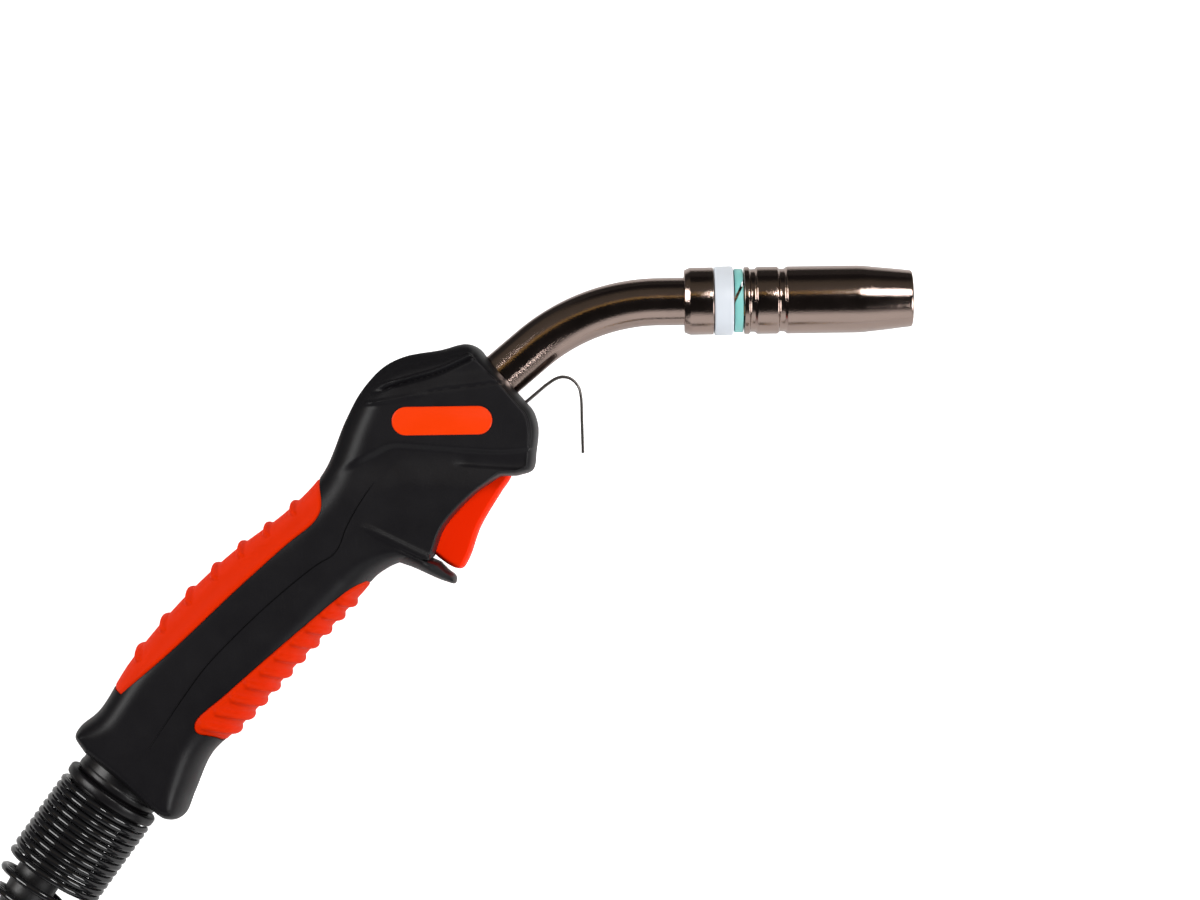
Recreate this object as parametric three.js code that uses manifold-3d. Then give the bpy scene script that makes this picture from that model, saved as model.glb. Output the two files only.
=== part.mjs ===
// A MIG welding torch lying on its side on a surface: gas nozzle, swan neck, two-shell
// handle with soft grips, trigger and switch, cable support spring, and a 3 m coaxial cable
// wound into a coil that ends in its central plug.
//
// Millimetres. The torch is drawn in a side view with its own design axes: +X runs forwards
// along the nozzle, whose front is at X = 0, +Y is up towards the crest of the head, and +Z
// points away from the surface. The finished group is moved so that the origin is under the
// middle of the torch, on the surface.

import * as THREE from 'three';
import { mergeVertices } from 'three/addons/utils/BufferGeometryUtils.js';
import Module from 'manifold-3d';

const wasm = await Module();
wasm.setup();

// ---- driving dimensions ---------------------------------------------------------------

const TORCH_MIDDLE_X = -158.6; // design point that becomes the origin
const TORCH_MIDDLE_Y = -103.75;
const HALF = 20; // half the handle's thickness, so the middle plane lies at Z = HALF
const GAP = 0.3; // space left between pieces that touch
const WALL = 2.4; // thickness of the moulded shells
const PAD = 1.6; // thickness of the soft grips
const EDGE = 9; // rounding of the handle's long edges

const NECK_R = 8.08; // swan neck tube
const NECK_START_X = -62; // front end of the neck tube
const NECK_BEND_X = -86.2; // where the straight front stretch ends
const NECK_BEND_R = 67.6;
const NECK_BEND_DEG = 39.7;
const NECK_TAIL = 30; // straight stretch after the bend
const NECK_STEPS = 11;

const NOZZLE_LENGTH = 57.2;
const NOZZLE_R = 11.43;
const NOZZLE_MOUTH_R = 9.5;
const NOZZLE_TAPER = 17.7; // length of the tapered front
const NOZZLE_BORE_R = 9.6;
const NOZZLE_MOUTH_BORE_R = 7.9;

const CABLE_R = 8;
const SLEEVE_R = 14.9; // cable support sleeve in the handle's mouth
const MOUTH_CENTRE = [-270.8, -159.75];
const REAR_DEG = 53.5; // slope of the cable's way out below the horizontal
const SPRING_WIRE_R = 1.25;
const SPRING_R = 16.15; // middle of the wire
const SPRING_PITCH = 2.61;
const SPRING_CLOSE_TURNS = 11;
const SPRING_OPEN_TURNS = 4;
const SPRING_OPEN_PITCH = 7.2;
const SPRING_END_R = 11.1;
const SPRING_START = 9.4; // distance of the first turn from the mouth

const TRIGGER_PIVOT = [-140.2, -53.4];
const TRIGGER_HALF_WIDTH = 6.5;
const TRIGGER_TRAVEL_DEG = 6;

const LEAD_LENGTH = 137; // from the handle's mouth to the coil's outermost turn
const COIL_R = 112; // middle of the outermost turn
const COIL_INNER_R = 67.8;
const COIL_OUTER_R = 120.4;
const COIL_LOW_Z = 1.5;
const COIL_HIGH_Z = 34.3;
const TIE_THICKNESS = 1;
const TIE_SLACK = 0.5; // the coil's flat facets stand in a little
const TIE_WIDTH = 6;
const PLUG_DEG = 45; // direction in which the cable leaves the coil
const PLUG_Z = 23.6; // height of the plug's axis

// ---- finishes -------------------------------------------------------------------------

const finish = (color, roughness, metalness) => () =>
  new THREE.MeshStandardMaterial({ color, roughness, metalness });

const blackNylon = finish(0x17181b, 0.55, 0);
const orangeRubber = finish(0xf04a10, 0.6, 0);
const orangePlastic = finish(0xfc3208, 0.4, 0);
const smokyNickel = finish(0x6e655c, 0.28, 1);
const brass = finish(0xb5924c, 0.35, 1);
const copper = finish(0xb26a45, 0.4, 1);
const steel = finish(0x8b8d90, 0.35, 1);
const springSteel = finish(0x202124, 0.3, 1);
const whiteCeramic = finish(0xe4e6f0, 0.5, 0);
const mintPlastic = finish(0x82cdb9, 0.5, 0);
const blackRubber = finish(0x121213, 0.8, 0);
const clearLiner = finish(0xd8d8d2, 0.5, 0);
const redWire = finish(0xb03028, 0.5, 0);

// ---- small helpers --------------------------------------------------------------------

const radians = THREE.MathUtils.degToRad;

/** A closed mesh as a manifold-3d solid. */
function solidOf(geometry) {
  const bare = geometry.index ? geometry.toNonIndexed() : geometry.clone();
  bare.deleteAttribute('normal');
  bare.deleteAttribute('uv');
  const merged = mergeVertices(bare, 1e-4);
  const vertProperties = Float32Array.from(merged.attributes.position.array);
  const triVerts = Uint32Array.from(merged.index.array);
  return new wasm.Manifold(new wasm.Mesh({ numProp: 3, vertProperties, triVerts }));
}

/** A manifold-3d solid as a three.js geometry. */
function geometryOf(solid) {
  const mesh = solid.getMesh();
  const geometry = new THREE.BufferGeometry();
  geometry.setAttribute('position', new THREE.BufferAttribute(mesh.vertProperties, 3));
  geometry.setIndex(new THREE.BufferAttribute(mesh.triVerts, 1));
  return geometry;
}

/** The first solid with the others cut away. */
const cut = (solid, ...tools) => tools.reduce((left, tool) => left.subtract(tool), solid);

/** All solids joined. */
const join = (...solids) => solids.reduce((all, solid) => all.add(solid));

/** A closed outline from stretches: each is a list of points, joined by a smooth spline when
 * it has more than two. */
function outline(...stretches) {
  const shape = new THREE.Shape();
  shape.moveTo(...stretches[0][0]);
  for (const stretch of stretches) {
    const points = stretch.map(([x, y]) => new THREE.Vector2(x, y));
    if (points.length > 2) shape.splineThru(points.slice(1));
    else shape.lineTo(points.at(-1).x, points.at(-1).y);
  }
  return shape;
}

/** The outline's points, counter-clockwise, moved inwards by `inset`. */
function ring(shape, inset = 0, detail = 2) {
  let points = shape.getPoints(detail);
  points = points.filter((p, i) => p.distanceTo(points.at(i - 1)) > 0.05);
  if (THREE.ShapeUtils.area(points) < 0) points.reverse();
  return shrink(points, inset);
}

/** A ring moved inwards by short steps, so that its tight corners close up cleanly. */
function shrink(points, inset) {
  const steps = Math.ceil(Math.abs(inset) / 0.6);
  let kept = points;
  for (let step = 0; step < steps; step += 1) {
    const moved = offset(kept, inset / steps);
    const turnedRound = moved.map((p, i) => {
      const edge = moved[(i + 1) % moved.length].clone().sub(p);
      return edge.dot(kept[(i + 1) % kept.length].clone().sub(kept[i])) < 0;
    });
    kept = moved.filter((p, i) => !turnedRound[i] && p.distanceTo(moved.at(i - 1)) > 0.2);
  }
  return kept;
}

/** A ring without the corners whose edges would turn round when it moves in by `inset`. */
function steady(points, inset) {
  const moved = offset(points, inset);
  const kept = points.filter((p, i) => {
    const next = (i + 1) % points.length;
    return moved[next].clone().sub(moved[i]).dot(points[next].clone().sub(p)) > 0;
  });
  return kept.length === points.length ? kept : steady(kept, inset);
}

/** A ring with each corner moved inwards along its mitre. */
function offset(points, inset) {
  return points.map((p, i) => {
    const before = p.clone().sub(points.at(i - 1)).normalize();
    const after = points[(i + 1) % points.length].clone().sub(p).normalize();
    const mitre = before.clone().add(after).normalize();
    const reach = inset / Math.max(0.5, mitre.dot(after));
    return new THREE.Vector2(p.x - mitre.y * reach, p.y + mitre.x * reach);
  });
}

/** A prism over a ring from Z = low to Z = high, with an edge that slopes in by `slope` over
 * the height `rise`. */
function prism(points, low, high, slope = 0, rise = slope) {
  const geometry = new THREE.ExtrudeGeometry(new THREE.Shape(points), {
    depth: high - low - 2 * rise,
    steps: 1,
    bevelEnabled: slope > 0,
    bevelThickness: rise,
    bevelSize: slope,
    bevelOffset: -slope,
    bevelSegments: 1,
  });
  return geometry.translate(0, 0, low + rise);
}

/** A prism between Z = low and Z = high whose long edges are rounded by `radius`. */
function roundedPrism(points, low, high, radius, segments) {
  const layers = Array.from({ length: segments }, (_, k) => {
    const [inset, depth] = quarter(k / segments, radius);
    const [nextInset, nextDepth] = quarter((k + 1) / segments, radius);
    const layer = steady(shrink(points, inset), nextInset - inset);
    return solidOf(prism(layer, low + nextDepth, high - nextDepth, nextInset - inset,
      depth - nextDepth));
  });
  return join(...layers);
}

/** Inset and depth below the face at a share of the way round a quarter circle. */
function quarter(share, radius) {
  const angle = (share * Math.PI) / 2;
  return [radius * (1 - Math.cos(angle)), radius * (1 - Math.sin(angle))];
}

/** A disc or ring, or any turned shape, from [distance along the axis, radius] points. */
function turned(profile, sides = 24) {
  const points = profile.map(([along, radius]) => new THREE.Vector2(radius, along));
  const closesOnAxis = profile[0][1] === 0 && profile.at(-1)[1] === 0;
  if (!closesOnAxis) points.push(points[0].clone());
  const geometry = new THREE.LatheGeometry(points, sides);
  if (THREE.ShapeUtils.area(points) < 0) flip(geometry);
  return geometry;
}

/** Turns a geometry's faces round. */
function flip(geometry) {
  const index = geometry.index.array;
  for (let i = 0; i < index.length; i += 3) [index[i], index[i + 1]] = [index[i + 1], index[i]];
}

/** Lays a shape turned about Y along the direction from `from` to `to`. */
function along(geometry, from, to) {
  const direction = new THREE.Vector3(...to).sub(new THREE.Vector3(...from)).normalize();
  const turn = new THREE.Quaternion().setFromUnitVectors(new THREE.Vector3(0, 1, 0), direction);
  return geometry.applyQuaternion(turn).translate(...from);
}

/** A round bar from one point to another. */
function bar(from, to, radius, sides = 16) {
  const length = new THREE.Vector3(...from).distanceTo(new THREE.Vector3(...to));
  return along(turned([[0, 0], [0, radius], [length, radius], [length, 0]], sides), from, to);
}

/** A tube that runs along +X with its profile's first number as the X place. */
function axial(profile, sides = 24) {
  return turned(profile, sides).rotateZ(-Math.PI / 2);
}

/** A round section along a curve. */
function rope(curve, radius, steps, sides = 10) {
  const section = new THREE.Shape();
  for (let i = 0; i < sides; i += 1) {
    const angle = (2 * Math.PI * i) / sides;
    const point = [radius * Math.cos(angle), radius * Math.sin(angle)];
    if (i === 0) section.moveTo(...point);
    else section.lineTo(...point);
  }
  return new THREE.ExtrudeGeometry(section, { extrudePath: curve, steps, bevelEnabled: false });
}

/** A box from its lowest to its highest corner. */
function box(low, high) {
  const size = high.map((value, i) => value - low[i]);
  const middle = high.map((value, i) => (value + low[i]) / 2);
  return new THREE.BoxGeometry(...size).translate(...middle);
}

const torch = new THREE.Group();
torch.position.set(-TORCH_MIDDLE_X, -TORCH_MIDDLE_Y, 0);

/** Adds one named piece to the torch. */
function add(name, shape, material, parent = torch) {
  const geometry = shape instanceof THREE.BufferGeometry ? shape : geometryOf(shape);
  const mesh = new THREE.Mesh(geometry, material());
  mesh.name = name;
  parent.add(mesh);
}

// ---- places along the neck and the rear axis ------------------------------------------

const neckDirection = [-Math.cos(radians(NECK_BEND_DEG)), -Math.sin(radians(NECK_BEND_DEG))];
const bendEnd = [
  NECK_BEND_X - NECK_BEND_R * Math.sin(radians(NECK_BEND_DEG)),
  -NECK_BEND_R * (1 - Math.cos(radians(NECK_BEND_DEG))),
];
const rearDirection = [-Math.cos(radians(REAR_DEG)), -Math.sin(radians(REAR_DEG))];
const rearSide = [rearDirection[1], -rearDirection[0]]; // towards the upper left

/** The point `distance` past the neck's bend, in the middle plane. */
const onNeck = (distance, side = 0) => [
  bendEnd[0] + neckDirection[0] * distance - neckDirection[1] * side,
  bendEnd[1] + neckDirection[1] * distance + neckDirection[0] * side,
  HALF,
];

/** The point `distance` out of the handle's mouth, moved sideways to the upper left. */
const onRear = (distance, side = 0) => [
  MOUTH_CENTRE[0] + rearDirection[0] * distance + rearSide[0] * side,
  MOUTH_CENTRE[1] + rearDirection[1] * distance + rearSide[1] * side,
  HALF,
];

/** The neck's middle line from an X place on its straight front to `endPast` the bend. */
class NeckLine extends THREE.Curve {
  constructor(startX, endPast) {
    super();
    this.front = startX - NECK_BEND_X;
    this.bend = NECK_BEND_R * radians(NECK_BEND_DEG);
    this.length = this.front + this.bend + endPast;
    this.startX = startX;
  }

  /** The place and the slope angle at a distance from the start. */
  at(distance) {
    const angle = THREE.MathUtils.clamp((distance - this.front) / NECK_BEND_R, 0,
      radians(NECK_BEND_DEG));
    if (distance <= this.front) return { x: this.startX - distance, y: 0, angle };
    const past = distance - this.front - NECK_BEND_R * angle;
    return {
      x: NECK_BEND_X - NECK_BEND_R * Math.sin(angle) - past * Math.cos(angle),
      y: -NECK_BEND_R * (1 - Math.cos(angle)) - past * Math.sin(angle),
      angle,
    };
  }

  getPoint(t) {
    const { x, y } = this.at(t * this.length);
    return new THREE.Vector3(x, y, HALF);
  }

  getPointAt(u) {
    return this.getPoint(u);
  }

  getTangentAt(u) {
    const { angle } = this.at(u * this.length);
    return new THREE.Vector3(-Math.cos(angle), -Math.sin(angle), 0);
  }
}

/** A tube along the neck's middle line, with a bore unless `boreR` is 0. */
function neckTube(startX, endPast, radius, boreR, sides) {
  const outer = rope(new NeckLine(startX, endPast), radius, NECK_STEPS, sides);
  if (boreR === 0) return outer;
  const bore = rope(new NeckLine(startX + 1, endPast + 1), boreR, NECK_STEPS, sides);
  return cut(solidOf(outer), solidOf(bore));
}

// ---- handle outlines ------------------------------------------------------------------

const triggerEdge = [[-162.8, -84.1], [-159.4, -75.6], [-149.6, -65], [-140.4, -58.6]];

const handleOutline = outline(
  [[-144.1, -18.9], [-147, -15.2], [-151.4, -13.5], [-160.2, -15.4], [-172.7, -17.5],
    [-180.2, -21.2], [-187.6, -29.3], [-192.9, -38.9], [-200.8, -56.6], [-212.8, -69],
    [-232.5, -83.6], [-249.8, -99.6], [-267, -119.7], [-277.5, -135.7], [-283.9, -141.1],
    [-285.2, -144.2], [-281.9, -149.9]],
  [[-281.9, -149.9], [-259.7, -169.6]],
  [[-259.7, -169.6], [-255, -172.8], [-250.2, -172.4], [-246.4, -164.7], [-240.3, -151.6],
    [-230.4, -142.2], [-208.8, -119], [-188.4, -97.6], [-182.8, -91.4], [-174.3, -87.2],
    [-166.5, -88.2], triggerEdge[0]],
  triggerEdge,
  [triggerEdge.at(-1), [-134.8, -58.5]],
  [[-134.8, -58.5], [-129.6, -56.6], [-128.3, -50.2], [-127.6, -42], [-129.2, -36.5],
    [-131.6, -33.5]],
  [[-131.6, -33.5], [-144.1, -18.9]],
);

const guardOutline = outline(
  [[-176, -84], [-161.4, -87.4]],
  [[-161.4, -87.4], [-159, -89.8], [-156.2, -92.2], [-156.4, -94.7], [-160, -93.8],
    [-170.3, -88.9], [-176, -87.6]],
  [[-176, -87.6], [-176, -84]],
);

const upperGripOutline = outline(
  [[-201.8, -50], [-201.6, -58], [-200.3, -68], [-202.4, -72.6], [-212.1, -80.5],
    [-229.3, -95.6], [-250.8, -115.3], [-268.5, -129.9]],
  [[-268.5, -129.9], [-282, -120]],
  [[-282, -120], [-201.8, -50]],
);

const lowerGripOutline = outline(
  [[-186, -93], [-191, -95.3], [-207.4, -108.2], [-233.2, -130], [-243.6, -139.4],
    [-243.2, -142.8], [-236.6, -145.4], [-234.2, -150]],
  [[-234.2, -150], [-215, -150]],
  [[-215, -150], [-176, -100]],
  [[-176, -100], [-186, -93]],
);

const triggerOutline = (() => {
  const [pivotX, pivotY] = TRIGGER_PIVOT;
  const shape = new THREE.Shape();
  shape.moveTo(pivotX + 3.6, pivotY);
  shape.absarc(pivotX, pivotY, 3.6, 0, Math.PI, false);
  shape.splineThru([[-146.6, -58.4], [-150.5, -62.4], [-156.5, -69.5], [-163.4, -77.4],
    [-165.2, -82.4]]
    .map(([x, y]) => new THREE.Vector2(x, y)));
  shape.lineTo(-162.1, -85.8);
  shape.splineThru([[-159, -88.1], [-156.2, -89.5], [-153.9, -89.6], [-151.4, -85.9],
    [-147.5, -75.5], [-140.5, -64], [-137, -58.6], [pivotX + 3.6, pivotY]]
    .map(([x, y]) => new THREE.Vector2(x, y)));
  return shape;
})();

// ---- handle: two hollow shells, soft grips, badges and screws --------------------------

/** The handle's body, moved inwards by `inset` all round. */
function body(inset, segments) {
  const radius = EDGE - inset * 0.7;
  return roundedPrism(ring(handleOutline, inset), inset, 2 * HALF - inset, radius, segments);
}

/** The space that the trigger sweeps, with clearance. */
function triggerSweep() {
  const [pivotX, pivotY] = TRIGGER_PIVOT;
  const clearance = 0.5;
  const half = TRIGGER_HALF_WIDTH + clearance;
  const points = ring(triggerOutline, -clearance);
  const swept = [0, 0.34, 0.67, 1.05].map((part) => {
    const geometry = prism(points, HALF - half, HALF + half);
    geometry.translate(-pivotX, -pivotY, 0);
    geometry.rotateZ(-radians(TRIGGER_TRAVEL_DEG * part));
    return solidOf(geometry.translate(pivotX, pivotY, 0));
  });
  return join(...swept);
}

const badgePlace = { x: -159.5, y: -39.6, length: 33.7, height: 9.6, depth: 1.2 };

/** A flat bar with round ends in the badge's place. */
function badgeBar(grow, low, high) {
  const { x, y, length, height } = badgePlace;
  const radius = height / 2 + grow;
  const reach = length / 2 - height / 2;
  const shape = new THREE.Shape();
  shape.absarc(x - reach, y, radius, Math.PI / 2, (3 * Math.PI) / 2, false);
  shape.absarc(x + reach, y, radius, -Math.PI / 2, Math.PI / 2, false);
  return prism(ring(shape, 0, 8), low, high);
}

const FLANGE_R = 16.5; // the sleeve's inner flange, held in the shells' groove
const FLANGE_START = 11;
const FLANGE_END = 15;
const screwPlaces = [[-168.5, -25.5], [-181, -80.5], [-212, -106], [-259.3, -126.3]];
const SCREW_R = 1.5;
const SCREW_HEAD_R = 2.9;
const SCREW_HEAD_DEPTH = 2.2;
const SCREW_END_Z = 31;

const rearCylinder = (from, to, radius) => solidOf(bar(onRear(from), onRear(to), radius, 24));
const neckBore = solidOf(bar(onNeck(-2), onNeck(NECK_TAIL), NECK_R + GAP, 24));
const gripSpace = (shape) => solidOf(prism(ring(shape), -1, 2 * HALF + 1));

const HOOK_SIDE = 12.3; // distance of the hook's root from the neck's middle line
const hookLine = [onNeck(26, HOOK_SIDE), onNeck(4.5, HOOK_SIDE), [-121.5, -25.7],
  [-119, -25.1], [-116, -26], [-113.8, -28.6], [-113, -32], [-112.8, -39.8], [-112.6, -51.1]];
const HOOK_HALF_THICKNESS = 0.55;
const HOOK_HALF_WIDTH = 5;

/** The hook's bent strip, grown by `grow` on each face. */
function hookStrip(grow) {
  const points = hookLine.map(([x, y]) => new THREE.Vector2(x, y));
  const half = HOOK_HALF_THICKNESS + grow;
  const sides = [half, -half].map((offset) => points.map((p, i) => {
    const next = points[Math.min(i + 1, points.length - 1)];
    const last = points[Math.max(i - 1, 0)];
    const tangent = next.clone().sub(last).normalize();
    return new THREE.Vector2(p.x - tangent.y * offset, p.y + tangent.x * offset);
  }));
  const loop = [...sides[0], ...sides[1].reverse()];
  return prism(loop, HALF - HOOK_HALF_WIDTH - grow, HALF + HOOK_HALF_WIDTH + grow);
}

const TRIGGER_PIN_R = 1.5;
const TRIGGER_PIN_ENDS = [5.5, 34.5];
const pivotBar = (low, high, radius) =>
  solidOf(bar([...TRIGGER_PIVOT, low], [...TRIGGER_PIVOT, high], radius));

/** The way through a shell boss for one screw and its head. */
function screwWay([x, y]) {
  const headWay = bar([x, y, -1], [x, y, SCREW_HEAD_DEPTH + 0.4], SCREW_HEAD_R + GAP, 12);
  const shaftWay = bar([x, y, 0], [x, y, SCREW_END_Z + 0.5], SCREW_R + GAP, 12);
  return join(solidOf(headWay), solidOf(shaftWay));
}

/** Adds the two shells and the two halves of each grip, split at the middle plane. */
function addHandle() {
  const guard = solidOf(prism(ring(guardOutline), HALF - 9, HALF + 9, 0.8));
  const whole = join(body(0, 3), guard);
  const underGrip = body(PAD + GAP, 2);
  const recess = cut(join(gripSpace(upperGripOutline), gripSpace(lowerGripOutline)), underGrip);
  const pins = screwPlaces.map(([x, y]) => solidOf(bar([x, y, 2], [x, y, 38], 3.2, 12)));
  const bosses = join(pivotBar(2, 38, 3.4), ...pins);
  const hollow = cut(body(PAD + GAP + WALL, 1), bosses);
  const mouth = join(rearCylinder(-30, 6, SLEEVE_R + GAP),
    rearCylinder(-FLANGE_END - GAP, -FLANGE_START + GAP, FLANGE_R + GAP));
  const skin = cut(whole, recess, hollow, mouth, neckBore, triggerSweep(),
    solidOf(hookStrip(GAP)), pivotBar(TRIGGER_PIN_ENDS[0] - GAP, TRIGGER_PIN_ENDS[1] + GAP,
      TRIGGER_PIN_R + GAP), ...screwPlaces.map(screwWay),
    solidOf(badgeBar(GAP, -1, badgePlace.depth)),
    solidOf(badgeBar(GAP, 2 * HALF - badgePlace.depth, 2 * HALF + 1)));
  const upper = solidOf(box([-400, -300, HALF + GAP / 2], [0, 100, 100]));
  const lower = solidOf(box([-400, -300, -100], [0, 100, HALF - GAP / 2]));
  add('handle_shell_top', skin.intersect(upper), blackNylon);
  add('handle_shell_bottom', skin.intersect(lower), blackNylon);
  for (const [name, shape] of [['upper_grip', upperGripOutline], ['lower_grip', lowerGripOutline]]) {
    const area = solidOf(prism(ring(shape, GAP), -1, 2 * HALF + 1));
    const grip = cut(body(0, 3).intersect(area), body(PAD, 2));
    add(`${name}_top`, grip.intersect(upper), orangeRubber);
    add(`${name}_bottom`, grip.intersect(lower), orangeRubber);
  }
}
addHandle();

add('badge_top', badgeBar(0, 2 * HALF - 1, 2 * HALF - 0.05), orangePlastic);
add('badge_bottom', badgeBar(0, 0.05, 1), orangePlastic);
screwPlaces.forEach(([x, y], i) => {
  const profile = [[0.4, 0], [0.4, SCREW_HEAD_R], [SCREW_HEAD_DEPTH, SCREW_HEAD_R],
    [SCREW_HEAD_DEPTH, SCREW_R], [SCREW_END_Z - 1.5, SCREW_R], [SCREW_END_Z, 0]];
  const screw = along(turned(profile, 12), [x, y, 0], [x, y, 1]);
  add(`handle_screw_${i + 1}`, screw, steel);
});

// ---- swan neck and gas nozzle -----------------------------------------------------------

const LINER_R = 2.1;
const CORE_R = 4.9;
const CORE_BORE_R = 2.5;
add('swan_neck', neckTube(NECK_START_X, NECK_TAIL, NECK_R, CORE_R + GAP, 16), smokyNickel);
add('neck_inner_tube', neckTube(-57.6, NECK_TAIL + 2, CORE_R, CORE_BORE_R, 10), copper);
add('wire_liner', neckTube(-42, 60, LINER_R, 0.9, 6), clearLiner);

/** A bar with six flats around the neck's line, with a bore. */
function hexPiece(from, to, cornerR, boreR) {
  const outer = bar(onNeck(from), onNeck(to), cornerR, 6);
  return cut(solidOf(outer), solidOf(bar(onNeck(from - 1), onNeck(to + 1), boreR, 12)));
}
const CONNECTOR_END = 50;
const CABLE_NUT_END = 62;
const connector = cut(hexPiece(NECK_TAIL + GAP, CONNECTOR_END, 8.6, LINER_R + GAP),
  solidOf(bar(onNeck(NECK_TAIL - 1), onNeck(NECK_TAIL + 2 + GAP), CORE_R + GAP, 16)));
add('neck_connector', connector, brass);
add('cable_nut', hexPiece(CONNECTOR_END + GAP, CABLE_NUT_END, 9.3, LINER_R + GAP), brass);

const COLLAR_BACK_X = -77.5;
const COLLAR_FRONT_X = -67.3;
const RING_FRONT_X = -60.9;
const SPLIT_FRONT_X = -57.3;
const ON_NECK_R = NECK_R + GAP;
add('neck_collar', axial([[COLLAR_BACK_X, ON_NECK_R], [COLLAR_BACK_X, 10.6],
  [COLLAR_BACK_X + 2, 11.45], [COLLAR_FRONT_X - GAP, 11.45], [COLLAR_FRONT_X - GAP, ON_NECK_R]],
24).translate(0, 0, HALF), smokyNickel);
add('insulator_ring', axial([[COLLAR_FRONT_X, ON_NECK_R], [COLLAR_FRONT_X, 11.4],
  [COLLAR_FRONT_X + 0.4, 11.75], [RING_FRONT_X - 0.4, 11.75], [RING_FRONT_X, 11.4],
  [RING_FRONT_X, ON_NECK_R]], 24).translate(0, 0, HALF), whiteCeramic);

const splitRing = axial([[RING_FRONT_X + GAP, ON_NECK_R], [RING_FRONT_X + GAP, 10.8],
  [SPLIT_FRONT_X - GAP, 10.8], [SPLIT_FRONT_X - GAP, ON_NECK_R]], 24).translate(0, 0, HALF);
const slit = new THREE.BoxGeometry(9, 0.9, 8).rotateZ(radians(64)).translate(-59, 3, HALF + 9.5);
add('split_ring', cut(solidOf(splitRing), solidOf(slit)), mintPlastic);

const GROOVE_R = 10.68;
const nozzleGrooves = [[-42.9, -45.6], [-53, -55.4]].flatMap(([front, back]) => [
  [front, NOZZLE_R], [front - 0.5, GROOVE_R], [back + 0.3, GROOVE_R], [back, NOZZLE_R]]);
const nozzleProfile = [[-0.7, NOZZLE_MOUTH_R], [-NOZZLE_TAPER, NOZZLE_R], ...nozzleGrooves,
  [-NOZZLE_LENGTH, NOZZLE_R]];
const nozzleBore = [[-NOZZLE_LENGTH, NOZZLE_BORE_R], [-NOZZLE_TAPER - 3, NOZZLE_BORE_R],
  [-8, NOZZLE_MOUTH_BORE_R], [0, NOZZLE_MOUTH_BORE_R], [0, NOZZLE_MOUTH_R - 0.7]];
add('gas_nozzle', axial([...nozzleProfile, ...nozzleBore], 24).translate(0, 0, HALF), smokyNickel);

const HOLDER_R = 5.2;
add('gas_diffuser', diffuser(), whiteCeramic);
add('tip_holder', axial([[-57.3, LINER_R + GAP], [-57.3, HOLDER_R], [-34, HOLDER_R],
  [-32, 4], [-32, LINER_R + GAP]], 16).translate(0, 0, HALF), brass);
add('contact_tip', axial([[-31.7, 0.6], [-31.7, 3.9], [-8, 3.9], [-3.5, 2.6], [-2.5, 1.6],
  [-2.5, 0.6]], 16).translate(0, 0, HALF), copper);

/** A ring around the tip holder with a row of gas holes. */
function diffuser() {
  const band = axial([[-54, HOLDER_R + GAP], [-54, 8], [-40, 8], [-40, HOLDER_R + GAP]], 24);
  const holes = Array.from({ length: 8 }, (_, i) => {
    const angle = (2 * Math.PI * (i + 0.5)) / 8;
    const out = [-43, 10 * Math.cos(angle), HALF + 10 * Math.sin(angle)];
    return solidOf(bar([-43, 0, HALF], out, 0.9, 8));
  });
  return cut(solidOf(band.translate(0, 0, HALF)), ...holes);
}

/** A helix about a straight line, its radius and distance given for each turn. */
class Helix extends THREE.Curve {
  constructor(origin, direction, turns, radiusAt, distanceAt, phase = 0) {
    super();
    this.origin = new THREE.Vector3(...origin);
    this.direction = new THREE.Vector3(...direction).normalize();
    this.across = new THREE.Vector3(0, 0, 1).cross(this.direction).normalize();
    if (this.across.lengthSq() < 0.5) this.across.set(1, 0, 0);
    this.third = this.direction.clone().cross(this.across);
    Object.assign(this, { turns, radiusAt, distanceAt, phase });
    this.arcLengthDivisions = turns * 80;
  }

  getPoint(t) {
    const turn = t * this.turns;
    const angle = 2 * Math.PI * turn + this.phase;
    const radius = this.radiusAt(turn);
    return this.origin.clone()
      .addScaledVector(this.direction, this.distanceAt(turn))
      .addScaledVector(this.across, radius * Math.cos(angle))
      .addScaledVector(this.third, radius * Math.sin(angle));
  }
}

const retainer = new Helix([-56.4, 0, HALF], [1, 0, 0], 5, () => 8.75, (turn) => 0.95 * turn);
add('nozzle_spring', rope(retainer, 0.32, 50, 4), steel);
add('hook', hookStrip(0), springSteel);

// ---- trigger and switch -----------------------------------------------------------------

const trigger = cut(
  roundedPrism(ring(triggerOutline), HALF - TRIGGER_HALF_WIDTH,
    HALF + TRIGGER_HALF_WIDTH, 1.2, 1),
  pivotBar(0, 2 * HALF, TRIGGER_PIN_R + GAP),
  pivotBar(HALF - 1.8, HALF + 1.8, 4.6),
  solidOf(box([-152, -60, HALF - 1.8], [-139, -52, HALF + 1.8])),
);
add('trigger', trigger, orangePlastic);
add('trigger_pin', bar([...TRIGGER_PIVOT, TRIGGER_PIN_ENDS[0]],
  [...TRIGGER_PIVOT, TRIGGER_PIN_ENDS[1]], TRIGGER_PIN_R), steel);
const coilSpring = new Helix([...TRIGGER_PIVOT, HALF - 1.1], [0, 0, 1], 3, () => 2.5,
  (turn) => 0.72 * turn);
add('trigger_spring', rope(coilSpring, 0.3, 27, 4), steel);

const SWITCH_LENGTH = 20;
const SWITCH_DEPTH = 10;
const SWITCH_THICKNESS = 6.4;
const plungerTip = [-150.7, -62.1];
const pressDirection = [-Math.sin(radians(NECK_BEND_DEG)), Math.cos(radians(NECK_BEND_DEG))];
const switchAngle = radians(NECK_BEND_DEG);

/** A point of the switch: back along the handle, and inwards from the plunger's tip. */
const onSwitch = (back, inward, z = HALF) => [
  plungerTip[0] - Math.cos(switchAngle) * back + pressDirection[0] * inward,
  plungerTip[1] - Math.sin(switchAngle) * back + pressDirection[1] * inward,
  z,
];

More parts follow.
